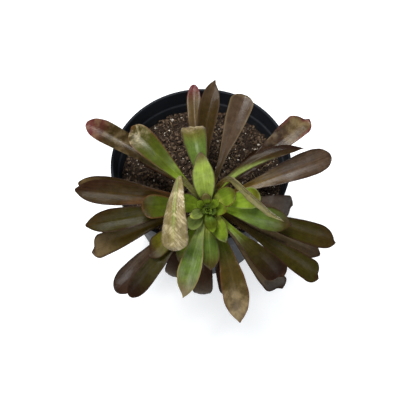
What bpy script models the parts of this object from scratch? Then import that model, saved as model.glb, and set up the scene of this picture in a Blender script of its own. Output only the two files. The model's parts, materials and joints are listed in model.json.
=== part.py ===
"""Potted aeonium: one leaning stem with a loose rosette of long spoon-shaped leaves,
rooted in peat compost in a round plastic nursery pot.

Metres, +Z up. The origin is the middle of the pot's flat underside. The plant leans
towards -Y, over the front of the rim.
"""

import math

import bmesh
import bpy
from mathutils import Vector

MM = 0.001
GAP = 0.3 * MM

# Pot: a tapered wall with a collar that stands out from it, and drain holes in the floor
POT_HEIGHT = 114 * MM
RIM_RADIUS = 76 * MM
RIM_THICKNESS = 2.4 * MM
COLLAR_HEIGHT = 17 * MM
COLLAR_STEP = 2.6 * MM
COLLAR_TAPER = 1.2 * MM
BASE_RADIUS = 58 * MM
BASE_CHAMFER = 1.5 * MM
WALL = 1.6 * MM
FLOOR = 2.2 * MM
EDGE = 0.7 * MM
DRAIN_RADIUS = 4.5 * MM
DRAIN_CIRCLE = 43 * MM
DRAIN_COUNT = 8
ROUND_STEPS = 56
COLLAR_FOOT = POT_HEIGHT - COLLAR_HEIGHT
WALL_TOP_RADIUS = RIM_RADIUS - COLLAR_TAPER - COLLAR_STEP

# Compost
SOIL_EDGE_HEIGHT = 91 * MM
SOIL_MOUND = 3.5 * MM
SOIL_RINGS = 5

# The rosette's heart and axis, and the stem that leans out to it from the pot's middle
HEART = Vector((7, -61, 140)) * MM
AXIS_ELEVATION = math.radians(66)
AXIS_TURN = math.radians(3)
STEM_FOOT = Vector((0, -6, 72)) * MM
STEM_LEAN = math.radians(46)
STEM_STRAIGHT = 30 * MM
STEM_RADIUS = 6.5 * MM
STEM_TOP_RADIUS = 3.5 * MM
STEM_SIDES = 12
STEM_STATIONS = (0, 0.01, 0.05, *(step / 14 for step in range(2, 14)), 0.985, 1)

# Leaf build
LEAF_SIDES = 8
LEAF_STATIONS = (0, 0.03, 0.14, 0.28, 0.42, 0.55, 0.67, 0.78, 0.87, 0.94, 0.985, 1)
PETIOLE_WIDTH = 4.2 * MM
LEAF_THICKNESS = 2.4 * MM
LEAF_CUP = 0.14
PATH_SAMPLES = 48

# Outlines: where the petiole starts to widen and where the blade is widest, as shares
# of the length, and the power and closing exponent of the tip's curve.
OUTLINES = {
    "petal": (-0.25, 0.56, 1.7, 0.85),
    "round_petal": (-0.15, 0.66, 2.2, 0.55),
    "lance": (0.08, 0.76, 1.7, 0.80),
    "spoon": (0.12, 0.82, 2.3, 0.50),
    "paddle": (0.24, 0.90, 3.5, 0.45),
    "long_spoon": (0.36, 0.88, 2.3, 0.50),
    "long_lance": (0.40, 0.74, 1.7, 0.80),
}

# One row a leaf: how far below the heart it joins the stem (mm), the way it points
# (degrees, 0 = +X, 90 = away from the lean), its length and width (mm), its pitch above
# the rosette's plane at the base, how far it bends down and turns sideways by its tip,
# how far its blade rolls (degrees), and its outline.
LEAVES = {
    "leaf_heart_1": (3, 280, 24, 10, 50, -6, 0, 0, "petal"),
    "leaf_heart_2": (2, 146, 14, 7, 64, -14, 0, 0, "petal"),
    "leaf_heart_3": (3, 208, 19, 9, 54, -10, 0, 0, "petal"),
    "leaf_heart_4": (4, 96, 14, 8, 54, -20, 0, 0, "petal"),
    "leaf_heart_5": (2, 34, 14, 7, 58, -16, 0, 0, "petal"),
    "leaf_heart_6": (1, 330, 11, 6, 70, -16, 0, 0, "petal"),
    "leaf_inner_1": (7, 95, 43, 17, 40, 8, 0, 0, "petal"),
    "leaf_inner_2": (9, 24, 22, 15, 38, 16, 0, 0, "round_petal"),
    "leaf_inner_3": (5, 346, 17, 11, 56, 4, 0, 0, "petal"),
    "leaf_inner_4": (7, 294, 32, 14, 38, 4, 0, 0, "petal"),
    "leaf_inner_5": (7, 168, 22, 15, 40, 8, 0, 0, "round_petal"),
    "leaf_inner_6": (7, 228, 22, 12, 42, 4, 0, 0, "round_petal"),
    "leaf_green_1": (13, 98, 64, 19, 34, 90, 0, 0, "spoon"),
    "leaf_green_2": (19, 133, 78, 19, 22, 40, 0, 0, "spoon"),
    "leaf_green_3": (13, 180, 46, 18, 22, 10, 0, 0, "spoon"),
    "leaf_green_4": (15, 219, 54, 16, 22, 10, 0, 0, "spoon"),
    "leaf_green_5": (18, 243, 45, 14, 14, 10, 0, 0, "lance"),
    "leaf_green_6": (11, 253, 71, 17, 32, 22, 0, 0, "lance"),
    "leaf_green_7": (14, 271, 46, 15, 22, 20, 0, 0, "lance"),
    "leaf_green_8": (12, 313, 74, 18, 22, 36, 0, 0, "paddle"),
    "leaf_green_9": (15, 343, 62, 19, 20, 14, 0, 0, "lance"),
    "leaf_green_10": (12, 6, 38, 16, 26, 10, 0, 0, "spoon"),
    "leaf_outer_1": (38, 99, 89, 11.5, 4, 10, -12, 0, "spoon"),
    "leaf_outer_2": (32, 94, 90, 16, 8, 10, -24, 0, "lance"),
    "leaf_outer_3": (24, 68, 83, 18.5, 12, 12, 0, 0, "paddle"),
    "leaf_outer_4": (28, 37, 96, 19, 10, 14, 0, 0, "paddle"),
    "leaf_outer_5": (20, 50, 83, 12, 12, 10, -50, 50, "lance"),
    "leaf_outer_6": (23, 18, 98, 20, 8, 10, 0, 0, "spoon"),
    "leaf_outer_7": (32, 353, 64, 18, 18, 48, 0, 0, "paddle"),
    "leaf_outer_8": (19, 341, 98, 18, 10, 20, 0, 0, "spoon"),
    "leaf_outer_9": (27, 334, 94, 18, 14, 30, -4, 0, "lance"),
    "leaf_outer_10": (22, 324, 98, 17, 12, 22, 0, 0, "paddle"),
    "leaf_outer_11": (25, 306, 84, 18, 20, 42, 3, 0, "paddle"),
    "leaf_outer_12": (17, 291, 90, 20, 14, 26, -17, 0, "lance"),
    "leaf_outer_13": (22, 282, 76, 15, 24, 84, 0, 0, "spoon"),
    "leaf_outer_14": (25, 265, 75, 16, 30, 90, 0, 0, "spoon"),
    "leaf_outer_15": (30, 242.5, 68, 13, 38, 98, 0, 0, "spoon"),
    "leaf_outer_16": (25.2, 223, 94, 19, 21.5, 29, 0, 0, "spoon"),
    "leaf_outer_17": (22.3, 228.5, 90, 15, 29, 42, 1, 0, "spoon"),
    "leaf_outer_18": (23, 200, 90, 18, 8, 18, 0, 0, "paddle"),
    "leaf_outer_19": (18, 188, 89, 18, 12, 14, 0, 0, "lance"),
    "leaf_outer_20": (22, 172, 97, 20, 10, 14, 0, 0, "lance"),
    "leaf_outer_21": (28, 169, 99, 17, 2, 14, 0, 0, "lance"),
    "leaf_outer_22": (34, 138, 111, 18, 2, 10, 14, 0, "spoon"),
    "leaf_outer_23": (44, 142, 62, 14, -2, 10, 0, 0, "spoon"),
    "leaf_outer_24": (38, 36, 58, 14, -2, 10, 0, 0, "spoon"),
}

# Two limp leaves: points along the middle of each, in mm to the right of, above and
# out from the heart in the rosette's frame, with the width, the blade's roll and outline.
LIMP_LEAVES = {
    "leaf_limp_1": (((-3.7, 7.3, -9.3), (-9, 13, -1), (-15, 20, 9), (-19, 24, 17), (-20, 19, 24),
                     (-22, 8, 29), (-24, -8, 30), (-25, -22, 26), (-26, -30, 21)),
                    20, 60, "long_spoon"),
    "leaf_limp_2": (((3.9, 9.5, -14.2), (7, 15.5, -6), (11, 19.5, 2), (15.5, 22, 9), (20, 20.5, 15),
                     (31, 9, 20), (44, -4, 18), (56, -12, 12)), 11, 20, "long_lance"),
}


def clear_scene():
    for old in list(bpy.data.objects):
        bpy.data.objects.remove(old)


def new_collection(name):
    collection = bpy.data.collections.new(name)
    bpy.context.scene.collection.children.link(collection)
    return collection


def material(name, colour, roughness):
    made = bpy.data.materials.new(name)
    made.use_nodes = True
    shader = made.node_tree.nodes["Principled BSDF"]
    shader.inputs["Base Color"].default_value = (*colour, 1)
    shader.inputs["Roughness"].default_value = roughness
    shader.inputs["Metallic"].default_value = 0
    return made


def add_object(name, mesh, collection, finish=None):
    made = bpy.data.objects.new(name, mesh)
    collection.objects.link(made)
    if finish:
        mesh.materials.append(finish)
    return made


def turned(name, profile, collection, finish):
    """A (radius, height) profile, from the axis back to the axis, turned about Z."""
    mesh = bpy.data.meshes.new(name)
    points = [(radius, 0, height) for radius, height in profile]
    mesh.from_pydata(points, [(i, i + 1) for i in range(len(points) - 1)], [])
    made = add_object(name, mesh, collection, finish)
    screw = made.modifiers.new("turn", "SCREW")
    screw.steps = screw.render_steps = ROUND_STEPS
    screw.use_merge_vertices = True
    screw.merge_threshold = 0.00001
    return made


def cut_with(target, cutter):
    cutter.hide_render = True
    cutter.display_type = "WIRE"
    cut = target.modifiers.new("cut", "BOOLEAN")
    cut.operation = "DIFFERENCE"
    cut.object = cutter


def swept(name, stations, sides, place):
    """A closed body along a path: a sphere whose rings are placed one station each.

    place(station, angle) gives the point of the skin at that angle round the section.
    """
    bm = bmesh.new()
    rings = len(stations) - 1
    bmesh.ops.create_uvsphere(bm, u_segments=sides, v_segments=rings, radius=1)
    for vert in bm.verts:
        polar = math.acos(max(-1.0, min(1.0, -vert.co.z)))
        station = stations[round(polar / math.pi * rings)]
        vert.co = place(station, math.atan2(vert.co.y, vert.co.x))
    if bm.calc_volume(signed=True) < 0:
        bmesh.ops.reverse_faces(bm, faces=bm.faces)
    mesh = bpy.data.meshes.new(name)
    bm.to_mesh(mesh)
    bm.free()
    mesh.shade_smooth()
    mesh.set_sharp_from_angle(angle=math.radians(35))
    return mesh


def smooth_step(value):
    value = max(0.0, min(1.0, value))
    return value * value * (3 - 2 * value)


def leaning(elevation, turn):
    """A unit vector that leans towards -Y from the vertical."""
    flat = math.cos(elevation)
    return Vector((math.sin(turn) * flat, -math.cos(turn) * flat, math.sin(elevation)))


OUT = leaning(AXIS_ELEVATION, AXIS_TURN)
RIGHT = Vector((math.cos(AXIS_TURN), math.sin(AXIS_TURN), 0))
UP = OUT.cross(RIGHT)
STEM_AHEAD = leaning(STEM_LEAN, AXIS_TURN)


def radial(clock):
    """The direction in the rosette's plane at a clock angle in degrees."""
    return RIGHT * math.cos(math.radians(clock)) + UP * math.sin(math.radians(clock))


def wall_radius(height):
    """The outside radius of the tapered wall at a height."""
    return BASE_RADIUS + (WALL_TOP_RADIUS - BASE_RADIUS) * height / COLLAR_FOOT


def make_pot(parts, cutters):
    lip = RIM_RADIUS - RIM_THICKNESS
    ledge = COLLAR_FOOT + WALL
    profile = [
        (0, FLOOR), (wall_radius(FLOOR) - WALL, FLOOR), (wall_radius(ledge) - WALL, ledge),
        (lip - COLLAR_TAPER + EDGE, ledge + EDGE), (lip, POT_HEIGHT - EDGE),
        (lip + EDGE, POT_HEIGHT), (RIM_RADIUS - EDGE, POT_HEIGHT),
        (RIM_RADIUS, POT_HEIGHT - EDGE), (RIM_RADIUS - COLLAR_TAPER, COLLAR_FOOT + EDGE),
        (RIM_RADIUS - COLLAR_TAPER - EDGE, COLLAR_FOOT), (WALL_TOP_RADIUS, COLLAR_FOOT),
        (wall_radius(BASE_CHAMFER), BASE_CHAMFER), (BASE_RADIUS - BASE_CHAMFER, 0), (0, 0),
    ]
    pot = turned("pot", profile, parts, material("black_plastic", (0.018, 0.019, 0.021), 0.5))
    for hole in range(DRAIN_COUNT):
        angle = math.tau * (hole + 0.5) / DRAIN_COUNT
        mesh = bpy.data.meshes.new(f"drain_{hole + 1}")
        bm = bmesh.new()
        bmesh.ops.create_cone(bm, cap_ends=True, segments=16, radius1=DRAIN_RADIUS,
                              radius2=DRAIN_RADIUS, depth=3 * FLOOR)
        bm.to_mesh(mesh)
        bm.free()
        cutter = add_object(mesh.name, mesh, cutters)
        cutter.location = (DRAIN_CIRCLE * math.cos(angle), DRAIN_CIRCLE * math.sin(angle),
                           0.5 * FLOOR)
        cut_with(pot, cutter)


def stem_point(along):
    """The stem's middle line, from the heart (0) down to the foot (1)."""
    straight = HEART - STEM_AHEAD * STEM_STRAIGHT
    rest = 1 - along
    return HEART * rest ** 2 + straight * (2 * along * rest) + STEM_FOOT * along ** 2


def stem_direction(along):
    """The way the stem runs at a point of its middle line, towards the heart."""
    above = stem_point(max(0, along - 0.01))
    below = stem_point(min(1, along + 0.01))
    return (above - below).normalized()


def stem_radius(along):
    """The stem is slim at the heart and full by a third of the way down."""
    return STEM_TOP_RADIUS + (STEM_RADIUS - STEM_TOP_RADIUS) * smooth_step(3 * along)


def stem_along(depth):
    """How far along the stem, as a share, a point this deep below the heart lies."""
    steps = 200
    gone = 0.0
    for step in range(steps):
        gone += (stem_point((step + 1) / steps) - stem_point(step / steps)).length
        if gone >= depth:
            return (step + 1) / steps
    return 1.0


def stem_mesh(name, extra):
    """The stem's body, or with extra thickness the socket that it stands in."""

    def place(station, angle):
        ahead = stem_direction(station)
        across = RIGHT * math.cos(angle) + RIGHT.cross(ahead) * math.sin(angle)
        if station in (0, 1):
            return stem_point(station) + ahead * (extra if station == 0 else -extra)
        return stem_point(station) + across * (stem_radius(station) + extra)

    return swept(name, STEM_STATIONS, STEM_SIDES, place)


def make_stem(parts):
    bark = material("stem_bark", (0.13, 0.075, 0.04), 0.8)
    add_object("stem", stem_mesh("stem", 0), parts, bark)


def make_soil(parts, cutters):
    low = FLOOR + GAP
    top_radius = wall_radius(SOIL_EDGE_HEIGHT) - WALL - GAP
    profile = []
    for ring in range(SOIL_RINGS + 1):
        share = ring / SOIL_RINGS
        profile.append((top_radius * share, SOIL_EDGE_HEIGHT + SOIL_MOUND * (1 - share ** 2)))
    profile += [(wall_radius(low) - WALL - GAP, low), (0, low)]
    soil = turned("soil", profile, parts, material("peat", (0.035, 0.022, 0.014), 0.95))
    cut_with(soil, add_object("stem_socket", stem_mesh("stem_socket", 1.5 * GAP), cutters))


def leaf_width(along, width, outline):
    """Full width of a leaf: a narrow petiole that widens to the blade, then closes."""
    opens, widest, power, close = OUTLINES[outline]
    petiole = min(PETIOLE_WIDTH, 0.5 * width)
    full = petiole + (width - petiole) * smooth_step((along - opens) / (widest - opens))
    if along > widest:
        full *= max(0.0, 1 - ((along - widest) / (1 - widest)) ** power) ** close
    return full


def leaf_thickness(along, width):
    thick = min(LEAF_THICKNESS, 0.22 * width)
    return thick * (1.15 - 0.4 * along) * math.sqrt(max(0.0, 1 - along ** 8))


def arched_path(base, clock, pitch, bend, turn, length):
    """Points along a leaf from its base: it starts at a pitch, bends down and turns."""
    points = [base]
    for sample in range(PATH_SAMPLES):
        along = (sample + 0.5) / PATH_SAMPLES
        rise = math.radians(pitch - bend * along ** 1.5)
        ahead = radial(clock + turn * along) * math.cos(rise) + OUT * math.sin(rise)
        points.append(points[-1] + ahead * (length / PATH_SAMPLES))
    return points


def spline_path(knots):
    """A smooth curve through a leaf's own points."""
    whole = [knots[0] * 2 - knots[1], *knots, knots[-1] * 2 - knots[-2]]
    spans = len(knots) - 1
    points = []
    for sample in range(PATH_SAMPLES + 1):
        span = min(sample * spans // PATH_SAMPLES, spans - 1)
        t = sample * spans / PATH_SAMPLES - span
        a, b, c, d = whole[span:span + 4]
        points.append(0.5 * (2 * b + (c - a) * t + (2 * a - 5 * b + 4 * c - d) * t ** 2
                             + (3 * b - a - 3 * c + d) * t ** 3))
    return points


def carried_frames(points, roll):
    """A middle point, a direction and a blade normal at each point of a path."""
    frames = []
    facing = OUT
    for index, point in enumerate(points):
        before = points[max(0, index - 1)]
        after = points[min(len(points) - 1, index + 1)]
        ahead = (after - before).normalized()
        facing = (facing - ahead * facing.dot(ahead)).normalized()
        turned_by = math.radians(roll) * index / (len(points) - 1)
        side = facing.cross(ahead)
        normal = facing * math.cos(turned_by) + side * math.sin(turned_by)
        frames.append((point, ahead, normal))
    return frames


def leaf_mesh(name, points, width, roll, outline):
    frames = carried_frames(points, roll)

    def place(station, angle):
        point, ahead, normal = frames[round(station * PATH_SAMPLES)]
        side = normal.cross(ahead)
        half = 0.5 * leaf_width(station, width, outline) if station else 0
        across = math.cos(angle)
        cup = LEAF_CUP * width * (2 * half / width) ** 2 * across ** 2
        height = 0.5 * leaf_thickness(station, width) * math.sin(angle)
        return point + side * (half * across) + normal * (height + cup)

    return swept(name, LEAF_STATIONS, LEAF_SIDES, place)


def make_leaves(parts):
    green = material("leaf_green", (0.12, 0.25, 0.03), 0.4)
    bronze = material("leaf_bronze", (0.10, 0.065, 0.03), 0.4)
    gold = material("leaf_gold", (0.24, 0.21, 0.09), 0.35)
    first = LEAF_STATIONS[1]
    for name, (depth, clock, length, width, pitch, bend, turn, roll, outline) in LEAVES.items():
        along = stem_along(depth * MM)
        ahead = stem_direction(along)
        off_stem = (radial(clock) - ahead * radial(clock).dot(ahead)).normalized()
        start = radial(clock) * math.cos(math.radians(pitch)) + OUT * math.sin(math.radians(pitch))
        outward = start.dot(off_stem)
        heel = 0.5 * leaf_thickness(first, width * MM) * math.sqrt(1 - outward ** 2)
        heel -= first * length * MM * outward
        seat = stem_radius(along) + GAP + max(0, heel)
        base = stem_point(along) + off_stem * seat
        points = arched_path(base, clock, pitch, bend, turn, length * MM)
        finish = bronze if name.startswith("leaf_outer") else green
        add_object(name, leaf_mesh(name, points, width * MM, roll, outline), parts, finish)
    for name, (knots, width, roll, outline) in LIMP_LEAVES.items():
        points = spline_path([HEART + (RIGHT * x + UP * y + OUT * z) * MM for x, y, z in knots])
        add_object(name, leaf_mesh(name, points, width * MM, roll, outline), parts, gold)


def main():
    clear_scene()
    parts = new_collection("potted_aeonium")
    cutters = new_collection("cutters")
    make_pot(parts, cutters)
    make_soil(parts, cutters)
    make_stem(parts)
    make_leaves(parts)


if __name__ == "__main__":
    main()
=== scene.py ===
"""Potted aeonium: the finished leaves, stem, compost and nursery pot.

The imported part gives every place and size. Each leaf is read back from its node as a row
of sections, then lofted again with a fine skin, a midrib, a channelled stalk and wavy
margins. Metres, +Z up; the plant leans towards -Y.
"""

import json
import math
import random

import bmesh
import bpy
import numpy as np
from bpy.props import (
    FloatProperty,
    FloatVectorProperty,
    IntProperty,
    PointerProperty,
)
from mathutils import Euler, Matrix, Vector, noise


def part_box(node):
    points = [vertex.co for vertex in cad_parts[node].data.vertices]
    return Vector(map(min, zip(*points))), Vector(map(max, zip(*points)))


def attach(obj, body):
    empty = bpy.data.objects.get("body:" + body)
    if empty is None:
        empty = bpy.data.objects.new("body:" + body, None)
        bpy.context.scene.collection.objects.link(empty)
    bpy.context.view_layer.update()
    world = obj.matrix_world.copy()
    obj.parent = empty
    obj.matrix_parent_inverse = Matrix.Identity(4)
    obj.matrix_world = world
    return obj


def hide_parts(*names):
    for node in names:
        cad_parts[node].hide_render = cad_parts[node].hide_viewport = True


bl_info = {
    "name": "Potted Aeonium",
    "version": (1, 0, 0),
    "blender": (4, 5, 0),
    "location": "View3D > Sidebar > Aeonium",
    "description": "Builds the finished leaves, stem, compost and pot of a potted aeonium",
    "category": "Add Mesh",
}

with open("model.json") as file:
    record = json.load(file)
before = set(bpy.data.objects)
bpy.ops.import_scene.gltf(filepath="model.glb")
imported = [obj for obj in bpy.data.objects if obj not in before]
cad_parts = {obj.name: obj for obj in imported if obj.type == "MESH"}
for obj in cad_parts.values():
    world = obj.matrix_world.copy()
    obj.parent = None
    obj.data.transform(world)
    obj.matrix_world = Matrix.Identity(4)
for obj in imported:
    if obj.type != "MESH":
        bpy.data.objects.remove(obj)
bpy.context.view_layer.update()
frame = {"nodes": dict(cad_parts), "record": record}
BODY = "root"
MM = 0.001
UP = Vector((0, 0, 1))

POT_LOW, POT_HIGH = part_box("pot")
SOIL_LOW, SOIL_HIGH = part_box("soil")
STEM_LOW, STEM_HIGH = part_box("stem")
RIM_RADIUS = 0.5 * (POT_HIGH.x - POT_LOW.x)
SOIL_RADIUS = 0.5 * (SOIL_HIGH.x - SOIL_LOW.x)

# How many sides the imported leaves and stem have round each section
LEAF_SIDES = 8
STEM_SIDES = 12

# Fine leaf skin: sections along a leaf, and points round a section
LEAF_ROWS = 60
LEAF_ROUND = 28

# The youngest leaves of the heart, and the angle from each to the next
BUD_LEAVES = 8
GOLDEN_ANGLE = math.radians(137.5)

# Each leaf's colours from stalk to margin: stalk, base, blade, tip, edge. Each word is a
# colour of the palette.
LEAF_COLOURS = {
    "leaf_heart_1": "grass leaf deep grass dusk",
    "leaf_heart_2": "grass grass lime lime dusk",
    "leaf_heart_3": "grass sage sage hazel dusk",
    "leaf_heart_4": "lime lime sand straw dusk",
    "leaf_heart_5": "grass grass lime lime dusk",
    "leaf_heart_6": "leaf leaf leaf leaf dusk",
    "leaf_inner_1": "sap sap sap bronze plum",
    "leaf_inner_2": "hazel hazel grass olive chestnut",
    "leaf_inner_3": "lime grass grass olive chestnut",
    "leaf_inner_4": "hazel hazel grass deep plum",
    "leaf_inner_5": "lime lime grass grass plum",
    "leaf_inner_6": "grass grass sage sage plum",
    "leaf_green_1": "lime lime leaf copper plum",
    "leaf_green_2": "lime lime deep moss chestnut",
    "leaf_green_3": "deep deep deep umber chestnut",
    "leaf_green_4": "leaf leaf olive dusk dusk",
    "leaf_green_5": "lime lime grass taupe dusk",
    "leaf_green_6": "sage sage leaf taupe sand",
    "leaf_green_7": "hazel hazel leaf moss plum",
    "leaf_green_8": "sap grass bog ebony dusk",
    "leaf_green_9": "hazel lime leaf umber dusk",
    "leaf_green_10": "sap lime lime olive sage",
    "leaf_outer_1": "bronze bronze bronze crimson crimson",
    "leaf_outer_2": "copper umber umber plum plum",
    "leaf_outer_3": "copper umber plum plum taupe",
    "leaf_outer_4": "chestnut umber dusk bronze crimson",
    "leaf_outer_5": "grass sage umber ebony dusk",
    "leaf_outer_6": "copper copper plum plum dusk",
    "leaf_outer_7": "moss moss plum slate dusk",
    "leaf_outer_8": "umber umber bog umber dusk",
    "leaf_outer_9": "chestnut taupe taupe plum dusk",
    "leaf_outer_10": "copper umber bog bog dusk",
    "leaf_outer_11": "chestnut taupe taupe slate dusk",
    "leaf_outer_12": "deep deep moss taupe chestnut",
    "leaf_outer_13": "slate slate dusk dusk ebony",
    "leaf_outer_14": "dusk dusk dusk umber ebony",
    "leaf_outer_15": "dusk dusk dusk umber ebony",
    "leaf_outer_16": "chestnut plum plum dusk ebony",
    "leaf_outer_17": "moss moss bog ebony dusk",
    "leaf_outer_18": "copper copper moss taupe dusk",
    "leaf_outer_19": "copper bog bog umber dusk",
    "leaf_outer_20": "copper chestnut umber dusk dusk",
    "leaf_outer_21": "chestnut chestnut umber bronze dusk",
    "leaf_outer_22": "copper olive umber crimson crimson",
    "leaf_outer_23": "plum plum chestnut umber dusk",
    "leaf_outer_24": "plum plum dusk umber dusk",
    "leaf_limp_1": "sage sage sand sand bronze",
    "leaf_limp_2": "sage copper straw straw bronze",
}

# What sets a leaf's shape apart, as shares of the leaf's half width. cup hollows the blade,
# fold lifts its halves to a V, roll turns the margins down, wave ripples them, skew pushes
# one margin ahead at the tip, ragged breaks the tip's edge and blunt rounds the tip. dents is
# the height of the folds beside the midrib, and shown is -1 where a leaf shows its back.
LEAF_HABITS = {
    "leaf_inner_1": {"cup": 0.25, "blunt": 0.3},
    "leaf_inner_2": {"wave": 0.06, "cup": 0.3},
    "leaf_inner_3": {"cup": 0.3},
    "leaf_inner_4": {"cup": 0.3},
    "leaf_green_1": {"cup": 0.3, "wave": 0.05, "skew": 0.10, "blunt": 0.9},
    "leaf_green_2": {"cup": 0.3, "roll": 0.15, "wave": 0.05, "skew": -0.12, "blunt": 0.8},
    "leaf_green_4": {"skew": 0.25, "blunt": 0.5},
    "leaf_green_5": {"fold": 0.10},
    "leaf_green_6": {"fold": 0.15, "skew": 0.12, "wave": 0.07},
    "leaf_green_7": {"fold": 0.2, "cup": 0.15},
    "leaf_green_8": {"skew": 0.15, "ragged": 0.05, "cup": 0.25, "blunt": 0.4},
    "leaf_green_9": {"fold": 0.12, "wave": 0.05, "cup": 0.15},
    "leaf_green_10": {"cup": 0.25},
    "leaf_outer_1": {"fold": 0.45, "roll": 0.3, "wave": 0.06, "blunt": 0.9},
    "leaf_outer_2": {"fold": 0.25, "skew": 0.22, "wave": 0.07, "cup": 0.15, "blunt": 0.4},
    "leaf_outer_3": {"cup": 0.12, "wave": 0.04, "blunt": 0.9},
    "leaf_outer_4": {"skew": -0.28, "ragged": 0.14, "wave": 0.12, "cup": 0.12, "blunt": 1.0},
    "leaf_outer_5": {"fold": 0.2, "wave": 0.08, "roll": 0.2, "skew": 0.15},
    "leaf_outer_6": {"cup": 0.25, "wave": 0.06, "blunt": 0.6, "fold": 0.08},
    "leaf_outer_7": {"fold": 0.10, "skew": 0.15, "ragged": 0.06},
    "leaf_outer_8": {"skew": -0.12, "ragged": 0.04, "cup": 0.3, "blunt": 0.4},
    "leaf_outer_9": {"blunt": 0.4, "cup": 0.2},
    "leaf_outer_10": {"skew": -0.18, "ragged": 0.03, "cup": 0.3, "blunt": 0.3},
    "leaf_outer_11": {"skew": 0.20, "wave": 0.08, "cup": 0.2, "blunt": 0.4},
    "leaf_outer_12": {"wave": 0.08, "cup": 0.15},
    "leaf_outer_13": {"blunt": 0.6},
    "leaf_outer_14": {"blunt": 0.6, "cup": 0.2},
    "leaf_outer_15": {"blunt": 0.6, "cup": 0.2},
    "leaf_outer_16": {"cup": 0.25, "wave": 0.06, "blunt": 0.6},
    "leaf_outer_17": {"fold": 0.3, "blunt": 0.5, "wave": 0.05},
    "leaf_outer_18": {"skew": 0.22, "fold": 0.12, "cup": 0.15, "blunt": 0.6},
    "leaf_outer_19": {"fold": 0.12, "wave": 0.05, "cup": 0.15, "blunt": 0.3},
    "leaf_outer_20": {"fold": 0.16, "wave": 0.06, "cup": 0.15, "blunt": 0.3},
    "leaf_outer_21": {"blunt": 0.5},
    "leaf_outer_22": {"fold": 0.14, "cup": 0.2, "wave": 0.05, "blunt": 0.5},
    "leaf_outer_23": {"fold": 0.2, "blunt": 0.4},
    "leaf_outer_24": {"fold": 0.2, "blunt": 0.4},
    "leaf_limp_1": {"wave": 0.08, "fold": 0.05, "roll": 0.1, "dents": 0.55 * MM, "shown": -1},
    "leaf_limp_2": {"wave": 0.12, "fold": 0.25, "dents": 0.4 * MM},
}

# How the finish of some leaves differs. blade_start, tip_start and edge_start are the shares
# of the leaf's length where these colours begin, and lean slants them across the leaf.
# edge_width and centre_width are shares of its half width; centre is how far the midrib keeps
# the base's colour. The painted sheen amount lays a painted highlight in the painted sheen
# colour over the upper face, from the painted sheen start on, and crinkle gathers it along
# creases as painted glints. streaks, blotches, wrinkles and pores are strengths,
# gloss is the shine, gloss_rough how blurred it is, and flesh how far light gets in.
LEAF_FINISHES = {
    "leaf_inner_1": {"bloom": 0.1, "tip_start": 0.8},
    # green_1 and green_2 carry painted gold glints on their bent tips
    "leaf_green_1": {
        "blade_start": 0.25, "tip_start": 0.74, "gloss": 0.14, "pores": 0.3, "bloom": 0.5,
        "painted_sheen_colour": "painted_glint", "bloom_start": 0.8, "crinkle": 0.4,
    },
    "leaf_green_2": {
        "tip_start": 0.7, "gloss": 0.14, "pores": 0.3, "bloom": 0.5, "painted_sheen_colour": "painted_glint",
        "bloom_start": 0.72, "crinkle": 0.4,
    },
    "leaf_green_6": {"streaks": 0.6, "gloss": 0.06, "bloom": 0.12},
    "leaf_green_7": {"streaks": 0.6, "gloss": 0.06, "tip_start": 0.7},
    "leaf_green_8": {"tip_start": 0.6},
    "leaf_green_9": {"tip_start": 0.7},
    "leaf_outer_1": {"streaks": 0.5, "gloss": 0.12, "edge_start": 0.8, "tip_start": 0.92, "centre": 0.0},
    "leaf_outer_2": {"centre": 0.0, "streaks": 0.5},
    "leaf_outer_3": {"gloss": 0.12, "centre": 0.0},
    # outer_4 carries a painted golden sheen towards its end
    "leaf_outer_4": {
        "edge_width": 0.3, "edge_start": 0.72, "gloss": 0.12, "pores": 0.3, "centre": 0.0,
        "bloom": 0.28, "painted_sheen_colour": "painted_gold_sheen", "bloom_start": 0.5, "crinkle": 0.3,
    },
    "leaf_outer_5": {
        "tip_start": 0.62, "streaks": 0.6, "gloss": 0.06, "lean": 0.25, "centre": 0.0,
    },
    "leaf_outer_6": {"streaks": 0.8, "gloss": 0.12, "centre": 0.0, "blade_start": 0.55},
    "leaf_outer_7": {"tip_start": 0.72, "gloss": 0.15, "centre": 0.0},
    # outer_12 carries a painted golden sheen on its tip
    "leaf_outer_12": {
        "tip_start": 0.7, "gloss": 0.1, "pores": 0.35, "centre": 0.0, "bloom": 0.5,
        "crinkle": 0.3, "painted_sheen_colour": "painted_gold_sheen", "bloom_start": 0.6,
    },
    "leaf_outer_14": {"gloss": 0.06},
    "leaf_outer_15": {"gloss": 0.06},
    "leaf_outer_16": {"gloss": 0.2, "centre": 0.0, "tip_start": 0.72},
    "leaf_outer_17": {"centre": 0.0, "tip_start": 0.75},
    # outer_18 carries a painted grey-brown sheen at its tip
    "leaf_outer_18": {"bloom": 0.35, "painted_sheen_colour": "taupe", "bloom_start": 0.7},
    "leaf_outer_19": {"centre": 0.0, "lean": -0.2, "streaks": 0.6},
    "leaf_outer_20": {"centre": 0.0, "lean": -0.25, "streaks": 0.8},
    # outer_22 carries a painted golden sheen along its middle and tip
    "leaf_outer_22": {
        "tip_start": 0.9, "edge_width": 0.3, "edge_start": 0.8, "gloss": 0.12, "pores": 0.3,
        "bloom": 0.22, "painted_sheen_colour": "painted_gold_sheen", "bloom_start": 0.3, "centre": 0.0,
    },
    # limp_1 carries bright painted glints along its creases in place of highlights
    "leaf_limp_1": {
        "wrinkles": 2.2, "streaks": 0.5, "blotches": 0.8, "edge_width": 0.1, "gloss": 0.35,
        "centre": 0.8, "centre_width": 0.3, "pores": 0.5,
        "bloom": 0.5, "crinkle": 0.8, "painted_sheen_colour": "painted_glint", "bloom_start": 0.1,
    },
    "leaf_limp_2": {
        "wrinkles": 1.0, "streaks": 0.6, "edge_width": 0.25, "gloss": 0.15, "bloom": 0.2,
    },
}

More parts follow.
